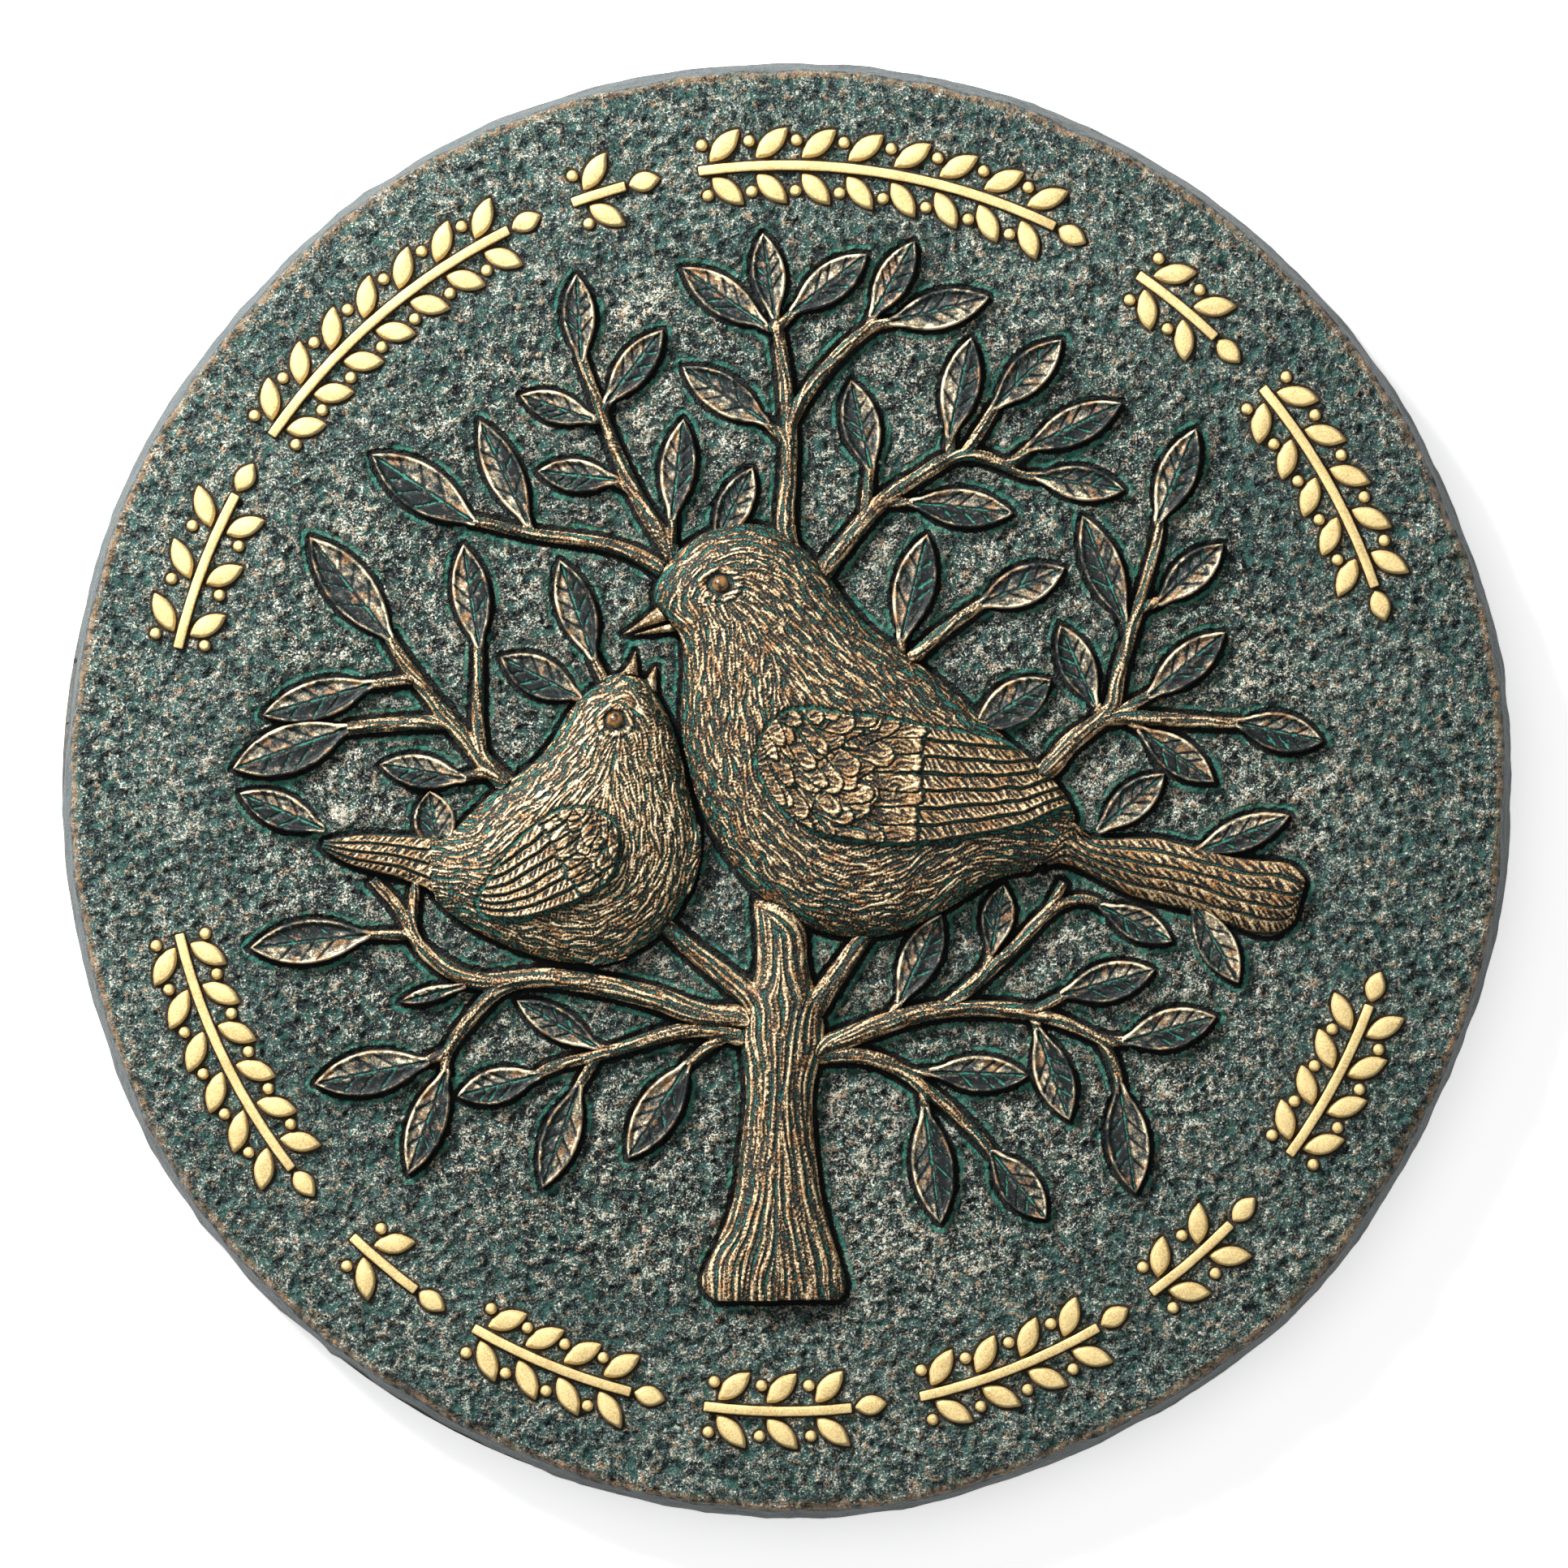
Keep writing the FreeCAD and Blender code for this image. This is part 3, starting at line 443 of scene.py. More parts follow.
def feathered_body(bird, pitch, stroke_length, stroke_spacing, stroke_depth, tone, eye_ring,
                   tail_from, tail_degrees, seed):
    """A bird's body as one engraved tile, with a lidded hollow round the eye."""
    body = bird + "_body"
    whole = [body, bird + "_tail", bird + "_bill", bird + "_wing"]
    xs, ys = plot_of(body, pitch)
    height, own = bird_height(bird, xs, ys, pitch)
    own = blur(own, 1.6) > 0.06
    joined = blur(~np.isnan(height) & ~own, 1.0) > 0.02
    height = np.where(own, height, np.nan)
    wide_xs, wide_ys = plot_of(body, 4 * pitch, margin=14.0)
    outline = height_of(whole, wide_xs, wide_ys)
    flow = feather_flow(~np.isnan(outline), 4 * pitch)
    column = np.clip(np.searchsorted(wide_xs, xs), 0, len(wide_xs) - 1)
    row = np.clip(np.searchsorted(wide_ys, ys), 0, len(wide_ys) - 1)
    gx, gy = np.meshgrid(xs, ys)
    to_tail = smoothstep(tail_from[0], tail_from[1], gx)
    c = blur(np.cos(2 * flow)[np.ix_(row, column)] * (1 - to_tail)
             + math.cos(math.radians(2 * tail_degrees)) * to_tail, 4)
    s = blur(np.sin(2 * flow)[np.ix_(row, column)] * (1 - to_tail)
             + math.sin(math.radians(2 * tail_degrees)) * to_tail, 4)
    angle = 0.5 * np.arctan2(s, c) + 0.13 * lumps(gx.shape, 5.0 / pitch, seed + 2)
    fine = strokes(angle, pitch, stroke_length, stroke_spacing, seed)
    coarse = strokes(angle, pitch, stroke_length * 0.8, stroke_spacing * 2.4, seed + 1)
    cut = 0.72 * fine + 0.46 * coarse
    low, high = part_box(bird + "_eye")
    ex = (gx - (low.x + high.x) * 500) / eye_ring[0]
    ey = (gy - (low.y + high.y) * 500) / eye_ring[1]
    from_eye = np.sqrt(ex * ex + ey * ey)
    hollow = 1.0 - smoothstep(0.80, 1.0, from_eye)
    lid = np.exp(-((from_eye - 1.25) / 0.15) ** 2)
    crease = np.exp(-((from_eye - 1.55) / 0.10) ** 2)
    # Lighter where the body stands high and darker towards its outline: partly gold rubbed on the
    # high parts, partly painted shade on the low flanks.
    proud = smoothstep(0.15, 0.85, np.nan_to_num(height) / np.nanmax(height))
    carving = tone + 0.70 * cut + 0.34 * (proud - 0.70)
    carving = carving * (1 - hollow) - 0.30 * hollow + 0.40 * lid - 0.55 * crease
    lift = stroke_depth * cut * (1 - hollow) - 0.75 * hollow + 0.40 * lid - 0.15 * crease
    # Round the wing the body is cut a little lower and painted darker: partly a dark joint where the
    # wing lies on the body, partly painted shade under the wing's edge.
    wing = ~np.isnan(height_of([bird + "_wing"], xs, ys))
    beside = smoothstep(0.01, 0.30, blur(wing, 0.6 / pitch))
    carving = carving - 0.75 * beside
    lift = lift - 0.45 * beside
    tile = carved_tile(bird + "_plumage", xs, ys, height + lift, {"carving": carving},
                       joined=joined)
    finished(tile, plumage_paint, "plumage", body)


feathered_body("adult_bird", 0.21, 3.4, 0.78, 0.24, 0.20, (3.2, 2.5), (34.0, 52.0), -13.0, 11)

# ---------------------------------------------------------------------------------------------
# The adult bird's folded wing: small curled coverts at the shoulder, a row of square ones behind
# them, then long flight feathers, hatched with slanting barbs, that run to the wing tip.


def turned(xs, ys, degrees):
    """Grid coordinates along and across a direction."""
    gx, gy = np.meshgrid(xs, ys)
    c, s = math.cos(math.radians(degrees)), math.sin(math.radians(degrees))
    return gx * c + gy * s, gy * c - gx * s


def both_edges(along, across, inside, pitch):
    """For each grid place, where the outline's two edges are, across, level with it."""
    first = along[inside].min()
    slot_of = ((along - first) / pitch).round().astype(int)
    count = slot_of[inside].max() + 1
    low = np.full(count, np.inf)
    high = np.full(count, -np.inf)
    np.minimum.at(low, slot_of[inside], across[inside])
    np.maximum.at(high, slot_of[inside], across[inside])
    good = np.isfinite(low)
    low = np.interp(np.arange(count), np.flatnonzero(good), low[good])
    high = np.interp(np.arange(count), np.flatnonzero(good), high[good])
    kernel = np.ones(9) / 9
    low = np.convolve(np.pad(low, 4, mode="edge"), kernel, mode="valid")
    high = np.convolve(np.pad(high, 4, mode="edge"), kernel, mode="valid")
    pick = np.clip(slot_of, 0, count - 1)
    return low[pick], high[pick]


def wing_tile(bird, pitch, degrees, barb_degrees, quills_from, quill_width, quill_taper,
              square_length, curl_length, curl_width, seed):
    """A folded wing with curled coverts, square coverts and quills."""
    wing = bird + "_wing"
    xs, ys = plot_of(wing, pitch)
    height = settled(height_of([wing], xs, ys), 0.4 / pitch)
    inside = ~np.isnan(height)
    along, across = turned(xs, ys, degrees)
    start = along[inside].min()
    along = along - start
    low, high = both_edges(along, across, inside, pitch * 2)
    wave = lumps(height.shape, 6.0 / pitch, seed + 5)
    if math.cos(math.radians(degrees)) < 0:
        from_below = high - across
    else:
        from_below = across - low
    up = from_below + 0.12 * wave
    width = quill_width - quill_taper * np.maximum(along - quills_from, 0.0)
    place = up / width
    part = place - np.floor(place)
    edge = np.minimum(part, 1 - part) * width
    line = 1 - smoothstep(0.08, 0.42, edge)
    slant = math.radians(barb_degrees) + 0.12 * wave
    barb = strokes(slant, pitch, 2.8, 0.85, seed + 7) * smoothstep(0.35, 0.8, edge)
    rim = np.exp(-((part * width - 0.70) / 0.26) ** 2)
    lift = 0.60 * (1 - part) + 0.16 * barb + 0.10 * rim - 0.50 * line
    carving = 0.34 + 0.46 * barb + 0.36 * rim - 0.85 * line
    slant = math.radians(degrees) + 0.45 * lumps(height.shape, 4.0 / pitch, seed + 3)
    fold = strokes(slant, pitch, 2.6, 0.95, seed + 8)
    rng = np.random.default_rng(seed + 9)
    scales = []
    top = (high - low).max() + 2.0
    step = square_length * 0.36
    for i in range(int(top / step) + 1):
        scales.append((quills_from - square_length * 0.86 + rng.uniform(-0.6, 0.6),
                       (i + 0.5) * step, square_length, step * 1.16, rng.uniform(-4, 6), 5.0))
    column = quills_from - square_length * 0.80
    number = 0
    while column > -curl_length * 0.9:
        column -= curl_length * 0.66
        number += 1
        for i in range(int(top / (curl_width * 0.82)) + 2):
            scales.append((column + rng.uniform(-1.4, 1.0),
                           (i + 0.5 * (number % 2)) * curl_width * 0.82 + rng.uniform(-1.0, 1.0),
                           curl_length * rng.uniform(0.75, 1.3),
                           curl_width * rng.uniform(0.75, 1.3),
                           rng.uniform(-42, 38), rng.uniform(1.7, 3.0)))
    for x0, y0, long, wide, tilt, square in scales:
        c, s = math.cos(math.radians(tilt)), math.sin(math.radians(tilt))
        dx, dy = along - x0, from_below - y0
        u = (dx * c + dy * s) / long
        v = (dy * c - dx * s) / (wide / 2)
        tip = np.clip((u - 0.55) / 0.45, 0, None)
        shape = (np.abs(v) ** square + tip ** square) ** (1 / square)
        cover = (shape < 1) & (u > -0.05)
        rim = (1 - shape) * wide / 2
        line = 1 - smoothstep(0.05, 0.50, rim)
        lift = np.where(cover, 0.10 + 1.05 * u - 0.70 * line + 0.14 * fold, lift)
        carving = np.where(cover, 0.10 + 0.46 * u + 0.30 * fold - 0.90 * line
                           + 0.32 * np.exp(-((rim - 0.75) / 0.30) ** 2), carving)
    tile = carved_tile(bird + "_folded_wing", xs, ys, height + lift - 0.15, {"carving": carving})
    finished(tile, quill_paint, "plumage", wing)


quill_paint = bronze_paint("quill_paint", 0.6, (78, 62, 44), (160, 130, 88),
                           (238, 218, 178), 0.22, speckle=0.8)
wing_tile("adult_bird", 0.18, -3.0, -50.0, 33.0, 3.6, 0.045, 10.0, 6.8, 5.0, 21)

# ---------------------------------------------------------------------------------------------
# The adult bird's tail: five long feathers side by side, each hatched with slanting barbs. Its
# skin runs on into the body's, so that no step shows between them.


def tail_tile(bird, pitch, degrees, barb_degrees, feathers, seed):
    """A tail of long barbed feathers."""
    tail = bird + "_tail"
    xs, ys = plot_of(tail, pitch, margin=8.0)
    height, body = bird_height(bird, xs, ys, pitch)
    own = ~np.isnan(height_of([tail], xs, ys))
    inside = ~np.isnan(height) & ~(blur(body, 1.6) > 0.94)
    inside &= blur(own, 2.4 / pitch) > 0.03
    height = np.where(inside, height, np.nan)
    along, across = turned(xs, ys, degrees)
    low, high = both_edges(along, across, inside, pitch * 2)
    wave = lumps(height.shape, 9.0 / pitch, seed + 5)
    place = (across - low) / np.maximum(high - low, 0.5) * feathers + 0.06 * wave
    part = place - np.floor(place)
    width = (high - low) / feathers
    edge = np.minimum(part, 1 - part) * width
    line = 1 - smoothstep(0.08, 0.40, edge)
    slant = math.radians(barb_degrees) + 0.10 * wave
    barb = strokes(slant, pitch, 3.0, 0.95, seed + 7) * smoothstep(0.30, 0.7, edge)
    barb = barb * (1 - 0.6 * smoothstep(0.55, 0.75, part))
    lift = 0.55 * part + 0.16 * barb - 0.50 * line
    carving = 0.38 + 0.48 * barb + 0.20 * smoothstep(0.50, 0.80, part) - 0.85 * line
    tile = carved_tile(bird + "_tail_feathers", xs, ys, height + lift - 0.1, {"carving": carving},
                       joined=body)
    finished(tile, quill_paint, "plumage", tail)


tail_tile("adult_bird", 0.18, -11.5, -52.0, 5, 31)

# ---------------------------------------------------------------------------------------------
# The adult bird's bill, closed but for a dark slit, and its eye, a brown bead with a gloss coat.


def bill_tile(bird, pitch, seed):
    """Both halves of a bill, nearly smooth."""
    bill = bird + "_bill"
    xs, ys = plot_of(bill, pitch)
    height = settled(height_of([bill], xs, ys), 0.15 / pitch)
    worn = 0.5 * lumps(height.shape, 2.5 / pitch, seed)
    tile = carved_tile(bird + "_bill_halves", xs, ys, height + 0.04 * worn,
                       {"carving": 0.62 + 0.15 * worn})
    finished(tile, plumage_paint, "plumage", bill)


bill_tile("adult_bird", 0.15, 41)

eye_paint, tree, shader = new_finish("eye_paint")
cloud = ramp(tree, noise(tree, place_on(tree), 1.6), 0.35, 0.62)
colour = over(tree, paint(40, 28, 18), paint(150, 108, 60), cloud)
feed(tree, shader, {"Base Color": colour, "Roughness": 0.22, "Coat Weight": 0.6})
for bird in ("adult_bird", "young_bird"):
    eye = nodes[bird + "_eye"]
    eye.data.materials.clear()
    eye.data.materials.append(eye_paint)

# ---------------------------------------------------------------------------------------------
# The young bird: the same work in smaller strokes, brighter where the gold was rubbed, with a
# short wing, a narrow tail and a small bill open to be fed.
plumage_paint = bronze_paint("young_plumage_paint", 0.7, (88, 72, 50),
                             (172, 146, 104), (244, 228, 192), 0.28)
feathered_body("young_bird", 0.19, 3.0, 0.74, 0.22, 0.23, (2.7, 2.4), (-58.0, -70.0), 178.0, 51)
quill_paint = bronze_paint("young_quill_paint", 0.6, (88, 72, 50), (174, 148, 106),
                           (244, 228, 194), 0.22, speckle=0.8)
wing_tile("young_bird", 0.18, 209.0, 258.0, 13.0, 2.6, 0.05, 6.0, 4.2, 3.4, 61)
tail_tile("young_bird", 0.18, 181.5, 222.0, 4, 71)
bill_tile("young_bird", 0.14, 81)

# ---------------------------------------------------------------------------------------------
# The tree's trunk: a rounded stem with deep upright grooves that splay over its foot and run up
# into the limbs behind the birds.
bark_paint = bronze_paint("bark_paint", 0.6, (72, 60, 46), (144, 116, 78),
                          (236, 214, 174), 0.30, speckle=1.3)


def bark_tile(node, label, pitch, groove_length, groove_spacing, groove_depth, fine_depth, seed,
              open_below=None):
    """A limb with lengthwise grooves. Below open_below they run straight off its foot."""
    xs, ys = plot_of(node, pitch)
    height = settled(height_of([node], xs, ys), 0.25 / pitch)
    outline = ~np.isnan(height)
    longer = 0
    straight_run = 24.0
    if open_below is not None:
        row = np.searchsorted(ys, open_below)
        outline[:row] = outline[row]
        longer = int(straight_run / pitch)
        outline = np.pad(outline, ((longer, 0), (0, 0)), mode="edge")
    angle = feather_flow(outline, pitch, reach=0.7)[longer:]
    angle = angle + 0.06 * lumps(height.shape, 8.0 / pitch, seed + 2)
    groove = strokes(angle, pitch, groove_length, groove_spacing, seed)
    fine = strokes(angle, pitch, groove_length * 0.5, groove_spacing * 0.55, seed + 1)
    tile = carved_tile(label, xs, ys, height + groove_depth * groove + fine_depth * fine,
                       {"carving": 0.28 + 0.52 * groove + 0.30 * fine})
    finished(tile, bark_paint, "bark", node)


bark_tile("tree_trunk", "trunk_bark", 0.22, 16.0, 1.35, 0.26, 0.12, 91, open_below=-97.0)

# ---------------------------------------------------------------------------------------------
# The boughs: thin half-round branches with a few long grooves, in the same rubbed bronze finish as
# the trunk.
for number, node in enumerate(sorted(n for n in nodes if n.startswith("bough_"))):
    bark_tile(node, node + "_bark", 0.20, 9.0, 1.15, 0.16, 0.06, 100 + 3 * number)

# ---------------------------------------------------------------------------------------------
# The leaves: pressed from one pattern with a raised rim, two hollow halves, a grooved midrib and
# three pairs of veins, then set round the tree in their different sizes.
leaf_paint = bronze_paint("leaf_paint", 0.5, (48, 58, 58), (130, 120, 98),
                          (238, 222, 186), 0.22, verdigris=(52, 124, 106), soot=(14, 19, 19),
                          speckle=0.6)
leaf_relief = 2.2
midrib_depth = 0.6
midrib_end_share = 0.12
usual_midrib_share = 0.74
leaf_columns, leaf_rows = 77, 37
weld = 1e-6


def leaf_axes(corners):
    """Foot, tip and width of one CAD leaf, in mm, found from its midrib groove and outline."""
    slack = 0.03
    level = corners[:, 2] - face_z * 1000
    rib = corners[np.abs(level - (leaf_relief - midrib_depth)) < slack][:, :2]
    outline = corners[np.abs(level) < slack][:, :2]
    spread = np.linalg.norm(rib[:, None] - rib[None, :], axis=-1)
    i, j = np.unravel_index(spread.argmax(), spread.shape)
    first, second = rib[i], rib[j]
    length = np.linalg.norm(second - first)
    way = (second - first) / length
    side = np.array([-way[1], way[0]])
    reach = (outline - first) @ way
    width = 2 * np.abs((outline - first) @ side).max()
    choices = []
    for end, sign in ((reach.max() - length, 1.0), (-reach.min(), -1.0)):
        whole = end / midrib_end_share
        if whole > reach.max() - reach.min() - 0.3:
            choices.append((abs(length / whole - usual_midrib_share), whole, sign, end))
    whole, sign, end = min(choices)[1:]
    tip = (second + way * end) if sign > 0 else (first - way * end)
    return tip - sign * way * whole, tip, width


def separate_solids(mesh):
    """The corner places, in mm, of each loose solid of a CAD mesh."""
    work = bmesh.new()
    work.from_mesh(mesh)
    bmesh.ops.remove_doubles(work, verts=work.verts, dist=weld)
    seen = set()
    found = []
    for start in work.verts:
        if start.index in seen:
            continue
        seen.add(start.index)
        queue, group = [start], []
        while queue:
            here = queue.pop()
            group.append(tuple(here.co))
            for e in here.link_edges:
                there = e.other_vert(here)
                if there.index not in seen:
                    seen.add(there.index)
                    queue.append(there)
        found.append(np.array(group) * 1000)
    work.free()
    return found


leaf_pattern = fresh_grid("leaf_pattern", leaf_columns, leaf_rows)


def pressed_leaf(foot, tip, width, rng):
    """The pattern leaf's corner places and carving, bent to one leaf's size and place."""
    t, v = np.meshgrid(np.linspace(0.0, 1.0, leaf_columns), np.linspace(-1.0, 1.0, leaf_rows))
    length = np.linalg.norm(tip - foot)
    x = (3 * (1 - t) ** 2 * t * 0.27 + 3 * (1 - t) * t ** 2 * 0.70 + t ** 3) * length
    stalk = 1.3
    x = x - stalk * (1 - t) ** 6
    half = 2.0 * width * t * (1 - t) + 0.75 * np.exp(-((x + stalk) / 1.8) ** 2)
    v = np.sign(v) * np.abs(v) ** 0.85
    y = half * v
    inward = half * (1 - np.abs(v))
    hollow = smoothstep(0.55, 1.5, inward) * rng.uniform(0.55, 0.85)
    z = leaf_relief * smoothstep(-0.15, 0.42, inward) - hollow
    z += 0.35 * np.exp(-(y / 0.85) ** 2) * smoothstep(0.4, 1.2, inward)
    rib = np.exp(-(y / 0.26) ** 2) * smoothstep(0.0, 0.08, t) * (1 - smoothstep(0.90, 0.98, t))
    cuts = rib.copy()
    for at in (0.26, 0.44, 0.62):
        for side in (1, -1):
            start = (at + rng.uniform(-0.03, 0.03)) * length
            lean = rng.uniform(0.75, 1.05)
            off = np.abs((x - start) - np.abs(y) / lean) * math.sin(math.atan(lean))
            vein = np.exp(-(off / 0.20) ** 2) * (np.sign(y) == side)
            vein = vein * smoothstep(0.30, 0.9, inward)
            cuts = np.maximum(cuts, 0.85 * vein)
    z -= 0.42 * cuts
    z = np.where(inward <= 1e-6, -0.9, z)
    tone = rng.uniform(-0.08, 0.06)
    rim = np.exp(-((inward - 0.45) / 0.34) ** 2)
    beside = np.exp(-((np.abs(y) - 0.75) / 0.25) ** 2)
    streak = blur(rng.standard_normal(t.shape), 0.7)
    streak = blur(streak, 1.2) / blur(streak, 1.2).std()
    wear = 0.80 + 0.35 * np.sin(rng.uniform(0, 6) + x * 0.55) * np.sign(y + 1e-9)
    lit = 0.22 * rng.choice([-1, 1]) * np.sign(y) * smoothstep(0.2, 1.0, np.abs(y))
    carving = 0.30 + tone + 0.58 * rim * wear - 0.88 * cuts + 0.18 * beside + 0.14 * streak + lit
    carving = np.where(inward < 0.10, 0.10, carving)
    way = (tip - foot) / length
    px = foot[0] + way[0] * x - way[1] * y
    py = foot[1] + way[1] * x + way[0] * y
    return px, py, z, carving


def seal(piece):
    """Joins a piece's corners that meet, and turns its faces outwards."""
    bpy.context.view_layer.objects.active = piece
    bpy.ops.object.mode_set(mode="EDIT")
    bpy.ops.mesh.select_all(action="SELECT")
    bpy.ops.mesh.remove_doubles(threshold=weld)
    bpy.ops.mesh.normals_make_consistent(inside=False)
    bpy.ops.object.mode_set(mode="OBJECT")
    bpy.ops.object.shade_smooth()


leaf_choice = np.random.default_rng(7)
for node in sorted(n for n in nodes if n.startswith("leaves_")):
    copies = []
    for corners in separate_solids(nodes[node].data):
        x, y, z, carving = pressed_leaf(*leaf_axes(corners), leaf_choice)
        copy = leaf_pattern.copy()
        copy.data = leaf_pattern.data.copy()
        bpy.context.scene.collection.objects.link(copy)
        lay_out(copy, x, y, z, {"carving": carving})
        copies.append(copy)
    bpy.ops.object.select_all(action="DESELECT")
    for copy in copies:
        copy.select_set(True)
    bpy.context.view_layer.objects.active = copies[0]
    bpy.ops.object.join()
    spray = bpy.context.object
    spray.name = node + "_pressed"
    seal(spray)
    flat_map(spray)
    finished(spray, leaf_paint, "leaves", node)
bpy.data.objects.remove(leaf_pattern)

# ---------------------------------------------------------------------------------------------
# The face of the stone: cast with a rough, scalloped skin and a channel pressed round the tree,
# the birds and the leaves. Painted dark teal and slate, it is black in the channels, partly dark
# wash and partly painted shadow at the foot of the relief, with painted shade a little past them,
# a green line along their outer lip, and dry-brushed grey and copper on the lumps.
face_radius = 143.0
face_pitch = 0.5
far_gap = 9.0
nearby = 8.0
foot_spacing = 0.25
tucked_under = 1.8
near_face = 2e-5
bronze_nodes = [n for n in nodes if n.startswith(("adult", "young", "bough", "leaves", "tree"))]
sprig_nodes = [n for n in nodes if n.endswith("_sprigs")]


def foot_line(names):
    """A search tree of points along the line where pieces meet the face, in mm."""
    points = []
    for name in names:
        work = bmesh.new()
        work.from_mesh(nodes[name].data)
        bmesh.ops.remove_doubles(work, verts=work.verts, dist=weld)
        for edge in work.edges:
            if len(edge.link_faces) != 2:
                continue
            flat = [all(abs(v.co.z - face_z) < near_face for v in f.verts)
                    for f in edge.link_faces]
            if flat[0] == flat[1]:
                continue
            a, b = edge.verts[0].co * 1000, edge.verts[1].co * 1000
            count = max(1, int((b - a).length / foot_spacing))
            points.extend(a.lerp(b, i / count) for i in range(count + 1))
        work.free()
    found = KDTree(len(points))
    for i, p in enumerate(points):
        found.insert((p.x, p.y, 0.0), i)
    found.balance()
    return found


def reach_from(line, tree, x, y):
    """Distance in mm from a foot line, negative inside the pieces, at each place."""
    gap = np.empty(len(x))
    down = Vector((0.0, 0.0, -1.0))
    for i in range(len(x)):
        near = line.find((x[i], y[i], 0.0))[2]
        if near < nearby:
            hit = tree.ray_cast(Vector((x[i] / 1000, y[i] / 1000, plumb_from)), down)[0]
            if hit is not None:
                near = -near
        gap[i] = near
    return gap


skin_pitch = 0.3
skin_size = 1024
crests = 1 - 1.25 * np.abs(lumps((skin_size, skin_size), 3.6 / skin_pitch, 201))
small_crests = 1 - 1.25 * np.abs(lumps((skin_size, skin_size), 2.1 / skin_pitch, 202))
skin = np.tanh(0.62 * crests + 0.55 * small_crests - 0.10
               + 0.28 * lumps((skin_size, skin_size), 1.3 / skin_pitch, 203))


def skin_at(x, y):
    """The cast skin's roughness, -1 to 1, at places in mm."""
    fx = np.clip(x / skin_pitch + skin_size / 2, 0, skin_size - 2)
    fy = np.clip(y / skin_pitch + skin_size / 2, 0, skin_size - 2)
    ix, iy = fx.astype(int), fy.astype(int)
    tx, ty = fx - ix, fy - iy
    return ((skin[iy, ix] * (1 - tx) + skin[iy, ix + 1] * tx) * (1 - ty)
            + (skin[iy + 1, ix] * (1 - tx) + skin[iy + 1, ix + 1] * tx) * ty)


bronze_line, bronze_tree = foot_line(bronze_nodes), tree_of(bronze_nodes)
sprig_line, sprig_tree = foot_line(sprig_nodes), tree_of(sprig_nodes)


def face_level(x, y, gap, sprig_gap):
    """Height of the face, in mm, and how rough it is there."""
    rough = skin_at(x, y)
    level = 0.62 * rough * smoothstep(-0.3, 2.0, gap) * smoothstep(-0.8, 1.0, sprig_gap)
    level -= 0.60 * (1 - smoothstep(0.3, 1.2, gap))
    level -= 0.22 * (1 - smoothstep(0.0, 0.9, sprig_gap))
    return level, rough


def face_quarter(name, xs, ys):
    """One quarter of the face, up to the ring where the hewn rim begins."""
    gx, gy = np.meshgrid(xs, ys)
    radius = np.hypot(gx, gy)
    keep = (radius < face_radius + 1.2 * face_pitch).ravel()
    shrink = np.minimum(1.0, face_radius / np.maximum(radius, 1.0))
    x, y = (gx * shrink).ravel(), (gy * shrink).ravel()
    gap = np.full(len(x), far_gap)
    sprig_gap = np.full(len(x), far_gap)
    gap[keep] = reach_from(bronze_line, bronze_tree, x[keep], y[keep])
    sprig_gap[keep] = reach_from(sprig_line, sprig_tree, x[keep], y[keep])
    keep &= gap > -tucked_under
    level, rough = face_level(x, y, gap, sprig_gap)
    quarter = fresh_grid(name, len(xs), len(ys))
    lay_out(quarter, x, y, level, {"rough": 0.5 + 0.5 * rough, "gap": gap, "sprig_gap": sprig_gap,
                                   "outward": np.hypot(x, y)})
    trim(quarter, keep)
    return quarter


stone_paint, tree, shader = new_finish("stone_paint")
where = place_on(tree)
rough, gap, sprig_gap, outward = [
    put(tree, "ShaderNodeAttribute", attribute_name=label).outputs["Fac"]
    for label in ("rough", "gap", "sprig_gap", "outward")]
fine = noise(tree, where, 0.46, detail=2.0, roughness=0.6, distortion=0.6)
middle = noise(tree, where, 1.5, detail=4.0, roughness=0.65, distortion=0.9)
broad = noise(tree, where, 9.0, detail=3.0)
wide = noise(tree, where, 34.0, detail=2.0)

# The scallops are shallow cells, bent out of true.
bend_by = put(tree, "ShaderNodeTexNoise", {"Vector": where, "Scale": 1000 / 2.6, "Detail": 2.0})
bend = put(tree, "ShaderNodeVectorMath", {0: bend_by.outputs["Color"], 1: (0.5, 0.5, 0.5)},
           operation="SUBTRACT").outputs[0]
bend = put(tree, "ShaderNodeVectorMath", {0: bend, "Scale": 0.004}, operation="SCALE").outputs[0]
bent = put(tree, "ShaderNodeVectorMath", {0: where, 1: bend}, operation="ADD").outputs[0]
scallop = put(tree, "ShaderNodeTexVoronoi", {"Vector": bent, "Scale": 1000 / 2.5}).outputs["Distance"]

# The paint goes by level, from soot through slate and grey to the palest dry brushing.
level = plus(tree, swing(tree, rough, 0.52, 0.5), swing(tree, scallop, 0.48, 0.9))
for layer, share in ((fine, 4.0), (middle, 0.9), (broad, 0.3), (wide, 0.5)):
    level = plus(tree, level, swing(tree, layer, 0.5, share))
level = times(tree, level, ramp(tree, outward, 98.0, 118.0, 1.60, 0.95))
level = plus(tree, level, ramp(tree, outward, 104.0, 126.0, 0.34, 0.43))
colour = paint(12, 16, 19)
for mixed, low, high in [((38, 56, 56), 0.04, 0.18), ((76, 96, 93), 0.34, 0.50),
                         ((128, 140, 132), 0.66, 0.82), ((220, 212, 192), 0.92, 1.10)]:
    colour = over(tree, colour, paint(*mixed), ramp(tree, level, low, high))
teal = times(tree, ramp(tree, noise(tree, where, 3.0, detail=4.0), 0.47, 0.60),
             ramp(tree, level, 0.80, 0.50))
colour = over(tree, colour, paint(58, 112, 102), times(tree, teal, 0.45))
